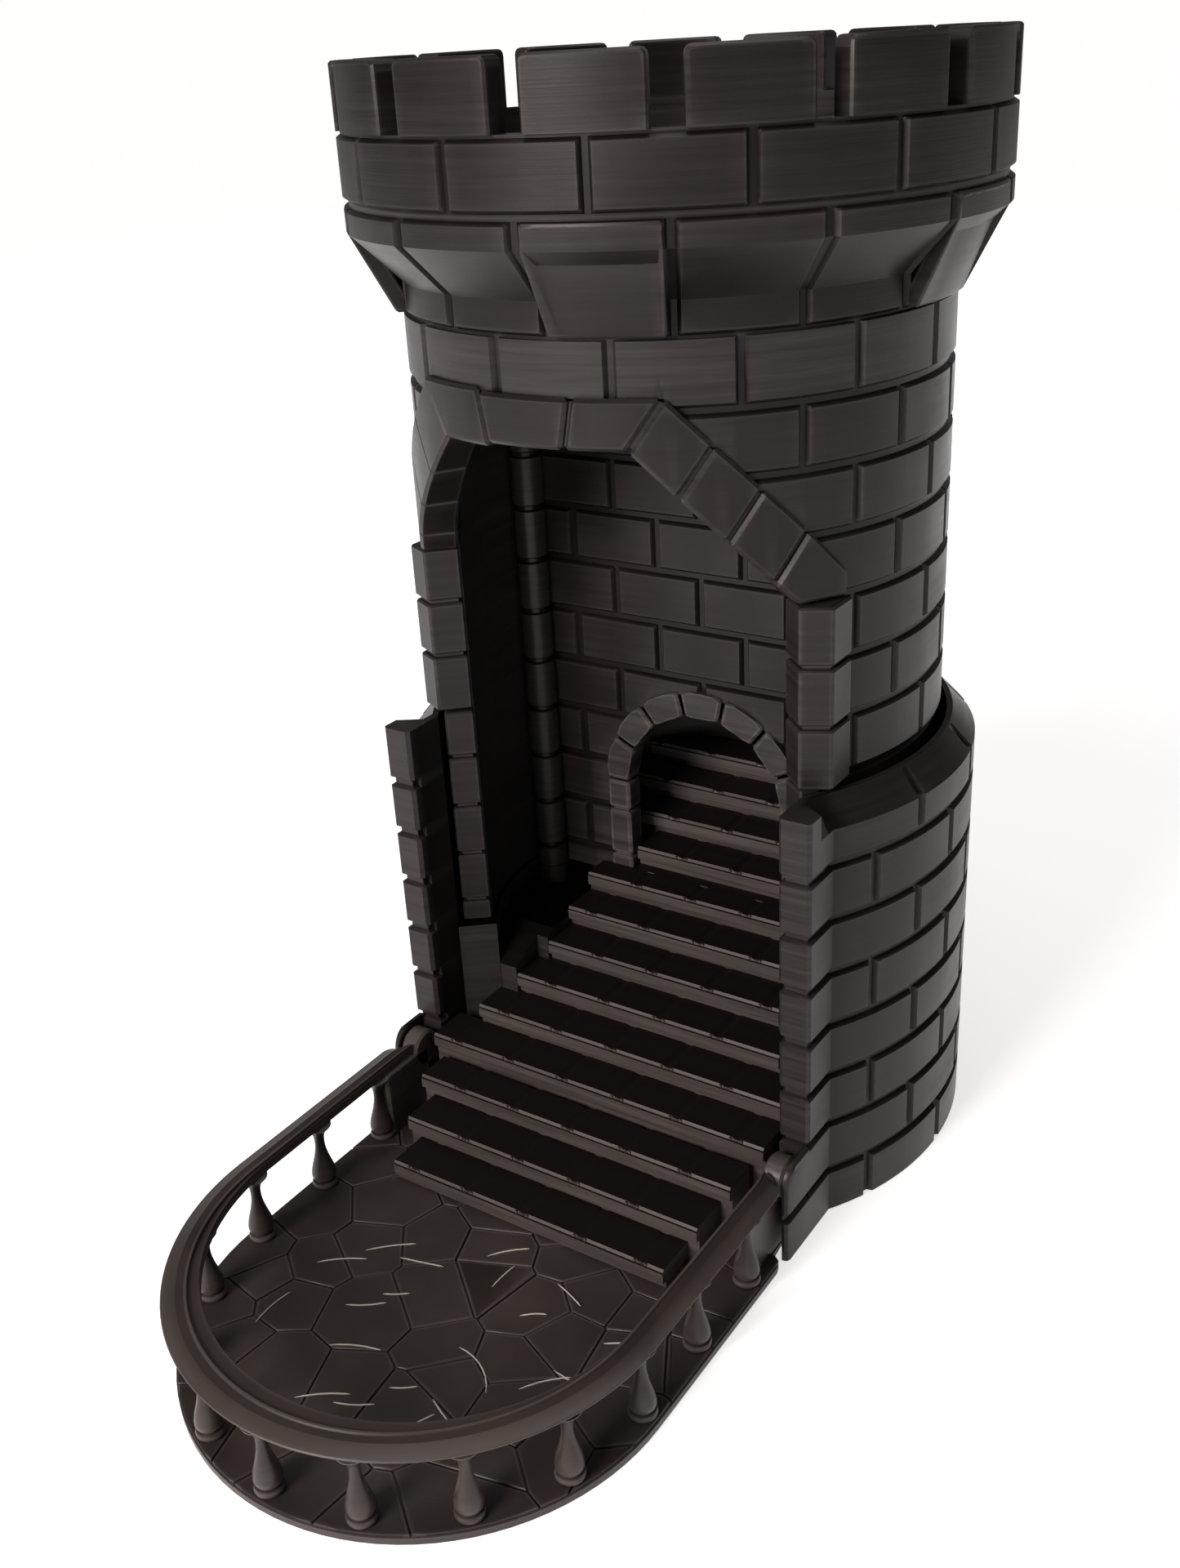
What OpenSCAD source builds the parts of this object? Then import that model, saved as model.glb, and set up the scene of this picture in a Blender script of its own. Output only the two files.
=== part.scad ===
// Dice tower: a round brick keep that lifts out of its base, with a hinged stair tray.
// Origin on the floor at the tower's axis, +Z up, the tray towards -Y. Millimetres.

/* [Tower] */
// Outer radius of the round tower wall
tower_r = 50; // [49:0.5:51]
// Thickness of the tower wall
tower_wall = 6; // [5:0.5:7]
// Height of one course of bricks
course = 11.2; // [11:0.1:11.3]
// Number of stones round the tower
stones = 15; // [12:1:18]
// Height of the tower's foot above the floor
tower_foot = 40.4; // [40:0.2:41]
// Outer radius of the crown
crown_r = 58.6; // [57:0.2:60]
// Radial thickness of the merlons
merlon_wall = 5; // [4:0.5:6]
// Width of the gap between two merlons
crenel_gap = 5.3; // [4:0.1:8]
// Thickness of the sloping plates inside
baffle_t = 3; // [2:0.5:4]

/* [Doorway] */
// Half of the angle that the doorway opens round the tower
door_half_angle = 53.3; // [52:0.1:54]
// Height where the door arch springs
spring_z = 124; // [123:0.5:125]
// Height of the underside of the arch at its middle
intrados_z = 151.4; // [150:0.2:152]
// Height of the top of the arch stones at the middle
extrados_z = 160.4; // [160:0.2:162]
// How far the arch stones stand proud of the wall
arch_proud = 1.2; // [0.8:0.1:2]

/* [Partition] */
// Distance of the partition's front face behind the tower's axis
partition_y = 5; // [4:0.5:6]
// Thickness of the partition
partition_t = 4; // [3:0.5:4.5]
// Inner radius of the small arch
arch_r = 18.5; // [18:0.5:19]
// Outer radius of the small arch's stones
arch_stone_r = 24; // [23:0.5:25]
// Height of the small arch's centre
arch_z = 64; // [62:1:66]
// Radius of the corner columns
column_r = 3.3; // [3:0.1:3.5]

/* [Base] */
// Outer radius of the base shell
shell_r = 56.9; // [56:0.1:58]
// Inner radius of the base shell
shell_bore_r = 51.3; // [51:0.1:51.6]
// Half of the width across the straight side walls
shell_half_w = 47.4; // [47:0.1:48]
// Half of the width of the opening between the side walls
slot_half_w = 41; // [40.8:0.1:41.2]
// Distance of the front cheeks from the tower's axis
cheek_y = 40.5; // [40:0.1:41]
// Height where the coping starts
coping_z = 77; // [76:0.5:78]
// Height of the top of the coping
base_h = 88.8; // [88:0.2:89]
// Thickness of the base floor
floor_t = 2.4; // [2:0.2:3]

/* [Stairs] */
// Distance of the lowest nosing in front of the tower's axis
first_nosing = 69; // [68:0.1:70]
// Height of the lowest tread
first_tread = 6.5; // [6:0.1:7]
// Depth of one step
going = 8.29; // [8.2:0.01:8.35]
// Height of one step
rise = 4.57; // [4.5:0.01:4.6]

/* [Tray] */
// Half of the tray's width
tray_half_w = 47; // [46:0.5:48]
// Distance of the round end's centre in front of the tower's axis
tray_centre = 95.4; // [90:0.1:100]
// Height of the rim round the plate
rim_h = 2; // [1.8:0.1:2.4]
// Height of the handrail's top
rail_top = 19.3; // [19:0.1:19.4]
// Height of the handrail's underside
rail_bottom = 16.5; // [16:0.1:17]
// Width of the handrail
rail_w = 5; // [4:0.5:6]
// How much wider the handrail is at the front of its round end
rail_front_extra = 2.7; // [0:0.1:3]
// Radius of the line that the balusters stand on
baluster_line = 43.9; // [43:0.1:44.5]

/* [Hinge] */
// Distance of the hinge axis in front of the tower's axis
hinge_y = 44.5; // [44.4:0.1:44.8]
// Height of the hinge axis
hinge_z = 16.2; // [16.1:0.1:16.4]
// Radius of the hinge knuckles
knuckle_r = 4; // [3.5:0.1:4]
// Radius of the hinge pins
pin_r = 1.6; // [1.2:0.1:2]

/* [Hidden] */
$fn = 96;

plastic = [0.15, 0.14, 0.135];
plastic_lit = [0.2, 0.185, 0.175];
plastic_deep = [0.11, 0.1, 0.1];

// Heights of the tower's main levels
corbel_z = tower_foot + 128.4;
crown_course_h = 11.6;
merlon_h = 10.8;
ring_z = corbel_z + 19.2;
merlon_z = ring_z + crown_course_h;
tower_top = merlon_z + merlon_h;
quoin_z = base_h + 0.7;
tower_bore_r = tower_r - tower_wall;
crown_bore_r = crown_r - merlon_wall;
pitch = 360 / stones;
joint_angle = pitch / 4;

// Clearances
slip = 0.3;
lift_gap = 0.6;
running = 0.05;

// Base: where the side walls stop behind the hinge, and how deep the cheeks are
ear_top = 21;
ear_t = 1.5;
ear_reach = 4.4;
cheek_depth = 4;
seat_r = 43.1;
seat_half_angle = 51;
seat_right_angle = 57;
bevel_z = 84;
bevel_r = 52.4;
pin_skin = 0.5;
flank_top = 36;
column_x = 39.4;
column_y = 3;

// Stairs: three steps belong to the tray, the rest to the base
tray_step_count = 3;
step_count = 14;
step_half_w = [32, 34.5, 37, 39.7, 33.4, 28.8, 26, 26];
step_right_w = [32, 34.5, 37, 39.7, 39.7, 34.4, 30.1, 26]; // the stair runs wider on the right
neck_half_w = 17.9;
base_front = first_nosing - going * tray_step_count;
stone_proud = 0.8;
landing_end = partition_y - stone_proud - slip;

// Tray
plate_t = 1.2;
rim_w = 1.2;
tray_neck_w = 44.4;
tray_neck_y = 50;
neck_round = 2.6;
straight_pitch = 18.3;
panel_x = 41.5;
panel_end = 56;

// Sloping plates: the y and z of their high and low ends
ramp_high = [-52, 184.6];
ramp_low = [8, 155];
rear_high = [44, 136];
rear_low = [27, 119];
short_high = [partition_y + partition_t, 107];
short_low = [21, 95];

// A point at radius r and angle a, counted from the front towards +X
function polar(r, a) = [r * sin(a), -r * cos(a)];
// Distance from the axis to the nosing, and height of the tread, of step n
function nosing_y(n) = -first_nosing + going * n;
function tread_z(n) = first_tread + rise * n;
// Where a length s measured round the wall lies across the front
function across(s) = tower_r * sin(s * 180 / (PI * tower_r));

module ring(r_in, r_out, z0, z1) {
    translate([0, 0, z0]) difference() {
        cylinder(r = r_out, h = z1 - z0);
        translate([0, 0, -1]) cylinder(r = r_in, h = z1 - z0 + 2);
    }
}

// A wedge about the tower's axis between two angles less than 180 degrees apart
module wedge(a0, a1, z0, z1, reach = 100) {
    middle = (a0 + a1) / 2;
    translate([0, 0, z0]) linear_extrude(z1 - z0)
        polygon([[0, 0], polar(reach, a0), polar(reach * 1.3, middle), polar(reach, a1)]);
}

module mirrored(side) {
    if (side > 0) children();
    else mirror([1, 0, 0]) children();
}

// ---------- base ----------

module shell_outline(front = cheek_y) {
    difference() {
        union() {
            circle(r = shell_r);
            translate([-shell_half_w, -front]) square([2 * shell_half_w, front]);
        }
        translate([-shell_r, -2 * shell_r]) square([2 * shell_r, 2 * shell_r - front]);
        circle(r = shell_bore_r);
        translate([-slot_half_w, -2 * shell_r]) square([2 * slot_half_w, 2 * shell_r]);
    }
}

module base_floor() {
    color(plastic_deep) linear_extrude(floor_t) intersection() {
        union() {
            circle(r = shell_bore_r);
            translate([-slot_half_w, -cheek_y + 0.5]) square([2 * slot_half_w, cheek_y - 0.5]);
            translate([-step_half_w[3], -base_front]) square([2 * step_half_w[3], base_front]);
        }
        translate([-shell_r, -base_front]) square([2 * shell_r, 2 * shell_r]);
    }
}

module base_shell() {
    color(plastic) linear_extrude(coping_z) shell_outline(cheek_y - cheek_depth);
}

module base_coping() {
    wall_bevel = base_h - bevel_z;
    color(plastic_lit) difference() {
        translate([0, 0, coping_z]) linear_extrude(base_h - coping_z)
            shell_outline(cheek_y - cheek_depth);
        intersection() {
            rotate_extrude() polygon([
                [shell_r, bevel_z], [shell_r + 9, bevel_z], [shell_r + 9, base_h + 1],
                [bevel_r, base_h + 1], [bevel_r, base_h]
            ]);
            translate([-100, -31.4, 0]) cube([200, 200, 200]);
        }
        for (side = [-1, 1]) mirrored(side) translate([0, -31.4, 0]) rotate([90, 0, 0])
            linear_extrude(20) polygon([
                [shell_half_w, bevel_z], [shell_half_w + 9, bevel_z],
                [shell_half_w + 9, base_h + 1], [shell_half_w - wall_bevel, base_h + 1],
                [shell_half_w - wall_bevel, base_h]
            ]);
    }
}

module cheek(side) {
    color(plastic_lit) mirrored(side) translate([slot_half_w, -cheek_y, ear_top])
        cube([shell_half_w - slot_half_w, cheek_depth, base_h - ear_top]);
}
module cheek_left() cheek(-1);
module cheek_right() cheek(1);

// The two lowest courses of the side wall run forward past the knuckle
module hinge_ear(side) {
    back = cheek_y - cheek_depth;
    inner_x = shell_half_w - ear_t;
    color(plastic) mirrored(side) difference() {
        union() {
            translate([inner_x, 0, 0]) rotate([90, 0, 90]) linear_extrude(ear_t) {
                translate([-hinge_y - ear_reach, 0]) square([hinge_y + ear_reach - back, hinge_z]);
                translate([-hinge_y, hinge_z]) circle(r = ear_reach);
                translate([-hinge_y, 0]) square([hinge_y - back, ear_top]);
            }
            translate([slot_half_w, -cheek_y + 0.5, 0])
                cube([inner_x - slot_half_w, cheek_depth - 0.5, ear_top]);
        }
        translate([inner_x - 1, -hinge_y, hinge_z]) rotate([0, 90, 0])
            cylinder(r = pin_r, h = ear_t + 1 - pin_skin);
    }
}
module hinge_ear_left() hinge_ear(-1);
module hinge_ear_right() hinge_ear(1);

// The tower's foot rests on this ring, which is open at the front
module seat_ring() {
    color(plastic_deep) difference() {
        ring(seat_r, shell_bore_r, floor_t, tower_foot);
        wedge(-seat_half_angle, seat_right_angle, 0, tower_foot + 1);
    }
}

module step_block(n, left_w, right_w, floor_z) {
    translate([-left_w, nosing_y(n), floor_z])
        cube([left_w + right_w, going, tread_z(n) - floor_z]);
}

module base_stairs() {
    behind = partition_y + partition_t + lift_gap;
    color(plastic) {
        for (n = [tray_step_count:len(step_half_w) - 1])
            step_block(n, step_half_w[n], step_right_w[n], floor_t);
        translate([-step_half_w[7], nosing_y(8), floor_t])
            cube([2 * step_half_w[7], landing_end - nosing_y(8), tread_z(8) - floor_t]);
        for (n = [8:9]) step_block(n, neck_half_w, neck_half_w, floor_t);
        intersection() {
            for (n = [9:step_count - 1]) step_block(n, tower_r, tower_r, floor_t);
            translate([0, 0, floor_t]) cylinder(r = seat_r - 0.1, h = tower_r);
            translate([-tower_r, behind, 0]) cube([2 * tower_r, tower_r, 2 * tower_r]);
        }
    }
}

// Sloping sides that lead a die back onto the stair
module stair_flank(side) {
    edge = 0.1;
    step_w = side > 0 ? step_right_w : step_half_w;
    w5 = step_w[5] + edge;
    w6 = step_w[6] + edge;
    neck = neck_half_w + edge;
    back = partition_y + partition_t + 0.5;
    color(plastic_deep) mirrored(side) intersection() {
        translate([0, 0, floor_t]) linear_extrude(flank_top) intersection() {
            circle(r = seat_r - edge);
            polygon([[w5, nosing_y(5)], [60, nosing_y(5)], [60, back], [neck, back],
                [neck, landing_end + edge], [w6, landing_end + edge], [w6, nosing_y(6)],
                [w5, nosing_y(6)]]);
        }
        rotate([90, 0, 90]) linear_extrude(60) polygon([
            [nosing_y(5), floor_t], [nosing_y(5), tread_z(5) + 1.5],
            [nosing_y(6.3), flank_top], [back, flank_top], [back, floor_t]
        ]);
    }
}
module stair_flank_left() stair_flank(-1);
module stair_flank_right() stair_flank(1);

// Column feet below the joint between base and tower
module column_stub(side) {
    color(plastic) mirrored(side) translate([column_x, column_y, flank_top])
        cylinder(r = column_r, h = tower_foot - slip - flank_top);
}
module column_stub_left() column_stub(-1);
module column_stub_right() column_stub(1);

module hinge_pin(side) {
    color(plastic_deep) mirrored(side) translate([panel_x + 0.5, -hinge_y, hinge_z])
        rotate([0, 90, 0]) cylinder(r = pin_r, h = shell_half_w - pin_skin - panel_x - 0.5);
}
module hinge_pin_left() hinge_pin(-1);
module hinge_pin_right() hinge_pin(1);

// ---------- tray ----------

// Half-round tray outline, necked in behind tray_neck_y so that it passes between the ears
module tray_outline(half_w, neck_w, past = 0) {
    translate([0, -tray_centre]) circle(r = half_w);
    translate([-half_w, -tray_centre])
        square([2 * half_w, tray_centre - tray_neck_y - neck_round]);
    translate([-neck_w, -tray_centre]) square([2 * neck_w, tray_centre - hinge_y + past]);
    for (side = [-1, 1]) translate([side * (half_w - neck_round), -tray_neck_y - neck_round])
        circle(r = neck_round);
}

module tray_plate() {
    color(plastic) difference() {
        linear_extrude(rim_h) tray_outline(tray_half_w, tray_neck_w);
        translate([0, 0, plate_t]) linear_extrude(rim_h)
            tray_outline(tray_half_w - rim_w, tray_neck_w - rim_w, 1);
    }
}

module tray_flagstones() {
    color(plastic_deep) translate([0, 0, plate_t]) linear_extrude(rim_h - plate_t) difference() {
        tray_outline(tray_half_w - rim_w, tray_neck_w - rim_w);
        for (n = [0:tray_step_count - 1]) translate([-step_half_w[n], nosing_y(n)])
            square([2 * step_half_w[n], going + 2]);
    }
}

module tray_steps() {
    color(plastic) difference() {
        for (n = [0:tray_step_count - 1])
            step_block(n, step_half_w[n], step_right_w[n], plate_t);
        translate([-tower_r, -hinge_y, 0]) cube([2 * tower_r, 20, 30]);
    }
}

// A turned post: ring foot, bell that narrows to a neck, and a cap that flares under the rail
module baluster() {
    h = rail_bottom - rim_h;
    rotate_extrude() polygon([
        [0, 0], [2.5, 0], [2.6, 0.6], [2.5, 1.2], [2, 1.7], [2.4, 2.4], [2.4, 3.6],
        [1.9, 6.2], [1.3, 9.2], [1.15, h - 3.2], [1.5, h - 1.6], [2.6, h - 0.4], [2.8, h], [0, h]
    ]);
}

module tray_balusters() {
    color(plastic) translate([0, 0, rim_h]) {
        for (side = [-1, 1], n = [0:2])
            translate([side * baluster_line, -tray_centre + straight_pitch * n, 0]) baluster();
        for (n = [1:7]) translate([0, -tray_centre, 0])
            translate(polar(baluster_line, -90 + 22.5 * n)) baluster();
    }
}

module tray_handrail() {
    color(plastic_lit) difference() {
        translate([0, 0, rail_bottom]) linear_extrude(rail_top - rail_bottom) difference() {
            tray_outline(tray_half_w + 0.2, tray_neck_w);
            translate([0, rail_front_extra - tray_centre]) {
                circle(r = tray_half_w + 0.2 - rail_w);
                translate([rail_w - tray_half_w - 0.2, 0])
                    square([2 * (tray_half_w + 0.2 - rail_w), tray_centre]);
            }
        }
        for (side = [-1, 1]) translate([side * tray_half_w, -hinge_y, hinge_z])
            rotate([0, 90, 0]) cylinder(r = knuckle_r, h = 20, center = true);
    }
}

// Barrel round the hinge axis, with the solid side panel that joins plate and rail
module tray_knuckle(side) {
    barrel_end = shell_half_w - ear_t - slip;
    color(plastic) mirrored(side) difference() {
        union() {
            translate([panel_x, -hinge_y, hinge_z]) rotate([0, 90, 0])
                cylinder(r = knuckle_r, h = barrel_end - panel_x);
            translate([panel_x, -panel_end, rim_h])
                cube([tray_neck_w - panel_x, panel_end - hinge_y, rail_bottom - rim_h]);
        }
        translate([panel_x - 1, -hinge_y, hinge_z]) rotate([0, 90, 0])
            cylinder(r = pin_r + running, h = 10);
    }
}
module tray_knuckle_left() tray_knuckle(-1);
module tray_knuckle_right() tray_knuckle(1);

// ---------- tower ----------

// The front outline of the doorway above the springing, extruded through the front wall
module door_arch_cut(flat_z, corner_s, foot_s, front = 70) {
    steps = 8;
    foot_z = flat_z - (foot_s - corner_s);
    right = [for (i = [0:steps])
        let (s = corner_s + (foot_s - corner_s) * i / steps)
        [across(s), flat_z - (s - corner_s)]];
    left = [for (i = [steps:-1:0]) [-right[i][0], right[i][1]]];
    rotate([90, 0, 0]) linear_extrude(front) polygon(concat(
        left, right, [[across(foot_s), min(foot_z, spring_z)]],
        [[-across(foot_s), min(foot_z, spring_z)]]
    ));
}

module intrados_cut() {
    door_arch_cut(intrados_z, 18.7, 46.5);
}

module extrados_cut() {
    door_arch_cut(extrados_z, 24.8, 57);
}

module tower_body() {
    color(plastic) difference() {
        ring(tower_bore_r, tower_r, tower_foot, corbel_z);
        wedge(-door_half_angle, door_half_angle, tower_foot - 1, spring_z);
        extrados_cut();
    }
}

module door_arch() {
    color(plastic_lit) intersection() {
        ring(tower_bore_r, tower_r + arch_proud, spring_z, corbel_z);
        difference() {
            extrados_cut();
            intrados_cut();
        }
    }
}

// Flat-faced stones beside the doorway, proud of the round wall
module door_quoins(side) {
    outer_x = 45.6;
    color(plastic_lit) mirrored(side) difference() {
        translate([0, 0, quoin_z]) linear_extrude(spring_z - quoin_z) polygon([
            polar(tower_r - 0.5, door_half_angle), polar(tower_r + 1, door_half_angle),
            [outer_x, -28.5], [outer_x, -20.6]
        ]);
        translate([0, 0, quoin_z - 1]) cylinder(r = tower_r, h = course * 4);
    }
}
module door_quoins_left() door_quoins(-1);
module door_quoins_right() door_quoins(1);

module partition_wall() {
    color(plastic) intersection() {
        translate([0, 0, tower_foot]) cylinder(r = tower_bore_r, h = corbel_z - tower_foot);
        rotate([90, 0, 90]) translate([0, 0, -tower_r]) linear_extrude(2 * tower_r) polygon([
            [partition_y, tower_foot], [partition_y + partition_t, tower_foot],
            [partition_y + partition_t, ramp_under(partition_y + partition_t)],
            [partition_y, ramp_under(partition_y)]
        ]);
        difference() {
            translate([-tower_r, 0, 0]) cube([2 * tower_r, tower_r, tower_top]);
            translate([0, 30, arch_z]) rotate([90, 0, 0]) cylinder(r = arch_stone_r, h = 60);
            translate([-arch_stone_r, -10, 0]) cube([2 * arch_stone_r, 60, arch_z]);
        }
    }
}

module inner_arch() {
    depth = partition_t + stone_proud;
    color(plastic_lit) translate([0, partition_y - stone_proud, 0]) difference() {
        union() {
            translate([0, depth, arch_z]) rotate([90, 0, 0])
                cylinder(r = arch_stone_r, h = depth);
            translate([-arch_stone_r, 0, tower_foot])
                cube([2 * arch_stone_r, depth, arch_z - tower_foot]);
        }
        translate([0, depth + 1, arch_z]) rotate([90, 0, 0]) cylinder(r = arch_r, h = depth + 2);
        translate([-arch_r, -1, 0]) cube([2 * arch_r, depth + 2, arch_z]);
    }
}

module corner_column(side) {
    color(plastic) mirrored(side) difference() {
        translate([column_x, column_y, tower_foot])
            cylinder(r = column_r, h = 150 - tower_foot);
        translate([0, partition_y, 0]) cube([tower_r, tower_r, tower_top]);
    }
}
module corner_column_left() corner_column(-1);
module corner_column_right() corner_column(1);

// The hollow inside the tower, with the funnel below the crown
module tower_hollow() {
    rotate_extrude() polygon([
        [0, tower_foot], [tower_bore_r, tower_foot], [tower_bore_r, corbel_z],
        [crown_bore_r, ring_z], [crown_bore_r, tower_top], [0, tower_top]
    ]);
}

// Height of the upper ramp's underside at y
function ramp_under(y) = ramp_low[1] - baffle_t
    + (y - ramp_low[0]) * (ramp_high[1] - ramp_low[1]) / (ramp_high[0] - ramp_low[0]);

// A plate across the tower from a high end to a low end, each given as y and z
module sloping_plate(high, low, thickness) {
    color(plastic_deep) intersection() {
        tower_hollow();
        rotate([90, 0, 90]) translate([0, 0, -60]) linear_extrude(120) polygon([
            high, low, [low[0], low[1] - thickness], [high[0], high[1] - thickness]
        ]);
    }
}

module upper_ramp() {
    sloping_plate([ramp_high[0], ramp_high[1]], [partition_y + partition_t + 1,
        ramp_under(partition_y + partition_t + 1) + baffle_t], baffle_t);
}

module rear_baffle() {
    sloping_plate(rear_high, rear_low, baffle_t);
}

module partition_baffle() {
    sloping_plate(short_high, short_low, baffle_t);
}

module corbel_ring() {
    color(plastic) rotate_extrude() polygon([
        [tower_bore_r, corbel_z], [tower_r, corbel_z], [tower_r, corbel_z + 6],
        [crown_r, ring_z - 4.7], [crown_r, ring_z], [crown_bore_r, ring_z]
    ]);
}

// Five stones whose faces slope in one straight line from the crown to the wall
module corbels() {
    half_angle = pitch / 2 - 1.25;
    color(plastic_lit) for (k = [0:4]) intersection() {
        rotate_extrude() polygon([
            [tower_r, corbel_z], [tower_r + 1, corbel_z], [crown_r, ring_z - 4.7],
            [tower_r, corbel_z + 6]
        ]);
        wedge(18 + 72 * k - half_angle, 18 + 72 * k + half_angle, corbel_z - 1, ring_z);
    }
}

module crown_ring() {
    color(plastic_lit) ring(crown_bore_r, crown_r, ring_z, merlon_z);
}

module merlons() {
    half_angle = pitch / 2 - crenel_gap / crown_r * 90 / PI;
    color(plastic_lit) for (k = [0:stones - 1]) {
        middle = joint_angle + pitch * (k + 0.5);
        intersection() {
            ring(crown_bore_r, crown_r, merlon_z, tower_top);
            wedge(middle - half_angle, middle + half_angle, merlon_z, tower_top);
        }
    }
}

base_floor();
base_shell();
base_coping();
cheek_left();
cheek_right();
hinge_ear_left();
hinge_ear_right();
seat_ring();
base_stairs();
stair_flank_left();
stair_flank_right();
column_stub_left();
column_stub_right();
hinge_pin_left();
hinge_pin_right();
tray_plate();
tray_flagstones();
tray_steps();
tray_balusters();
tray_handrail();
tray_knuckle_left();
tray_knuckle_right();
tower_body();
door_arch();
door_quoins_left();
door_quoins_right();
partition_wall();
inner_arch();
corner_column_left();
corner_column_right();
upper_ramp();
rear_baffle();
partition_baffle();
corbel_ring();
corbels();
crown_ring();
merlons();
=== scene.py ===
import math
import random

import bmesh
import bpy
from mathutils import Matrix, Vector


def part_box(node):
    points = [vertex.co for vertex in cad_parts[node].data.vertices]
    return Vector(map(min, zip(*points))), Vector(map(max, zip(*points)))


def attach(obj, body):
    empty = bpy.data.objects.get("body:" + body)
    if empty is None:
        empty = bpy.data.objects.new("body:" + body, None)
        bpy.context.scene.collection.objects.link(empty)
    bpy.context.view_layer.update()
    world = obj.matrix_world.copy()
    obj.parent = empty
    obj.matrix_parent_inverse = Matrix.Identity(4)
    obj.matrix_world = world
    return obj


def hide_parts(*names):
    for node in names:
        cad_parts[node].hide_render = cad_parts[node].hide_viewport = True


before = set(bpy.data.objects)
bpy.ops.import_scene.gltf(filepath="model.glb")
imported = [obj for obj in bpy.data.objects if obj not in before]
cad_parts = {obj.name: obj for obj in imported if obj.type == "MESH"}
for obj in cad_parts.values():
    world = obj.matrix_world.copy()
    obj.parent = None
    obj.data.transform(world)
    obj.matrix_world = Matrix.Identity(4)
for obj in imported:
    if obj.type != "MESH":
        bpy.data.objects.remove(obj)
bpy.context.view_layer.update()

# ---- Sizes, in millimetres. Places come from the CAD frame through node_box().
MM = 0.001


def node_box(node):
    low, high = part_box(node)
    return low / MM, high / MM


def top_of(node):
    return node_box(node)[1].z


def foot_of(node):
    return node_box(node)[0].z


COURSE = 11.2
TOWER_R = node_box("tower_body")[1].x
BORE_R = node_box("partition_wall")[1].x + 0.3
CROWN_R = node_box("crown_ring")[1].x
CROWN_BORE_R = CROWN_R - 5.0
SHELL_R = node_box("base_shell")[1].x
SHELL_BORE_R = 51.3
TOWER_FOOT = foot_of("tower_body")
CORBEL_Z = foot_of("corbel_ring")
RING_Z = foot_of("crown_ring")
MERLON_Z = foot_of("merlons")
TOWER_TOP = top_of("merlons")
COPING_Z = foot_of("base_coping")
BASE_H = top_of("base_coping")
STONES = 15
PITCH = 360.0 / STONES
ODD = PITCH / 4          # joints of the odd courses, in degrees from the front
EVEN = -PITCH / 4        # joints of the even courses

# A mortar joint: how deep it is at each distance from its middle
JOINT = ((0.5, 0.95), (0.8, 0.5), (1.15, 0.0))
JOINT_HALF = JOINT[-1][0]
EDGE_HIGHLIGHT_BAND = 0.45         # how far the painted edge highlight beside a joint reaches
SHARP = 28.0             # an edge this sharp, in degrees, keeps a hard line
ROUND_STEP = 3.0         # the longest grid step round a round wall
UNSPLIT = 99.0           # a grid spacing longer than any straight wall here


def polar(radius, degrees):
    """A point at that radius and angle, counted from the front towards +X."""
    a = math.radians(degrees)
    return radius * math.sin(a), -radius * math.cos(a)


# ---- Materials ----
def map_range(tree, value, lo, hi, to_lo, to_hi, kind="LINEAR"):
    """A Map Range node: value from lo..hi to to_lo..to_hi, which may be numbers or sockets."""
    node = tree.nodes.new("ShaderNodeMapRange")
    node.interpolation_type = kind
    tree.links.new(value, node.inputs["Value"])
    node.inputs["From Min"].default_value = lo
    node.inputs["From Max"].default_value = hi
    for socket, v in ((node.inputs["To Min"], to_lo), (node.inputs["To Max"], to_hi)):
        if isinstance(v, (int, float)):
            socket.default_value = v
        else:
            tree.links.new(v, socket)
    return node.outputs["Result"]


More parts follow.
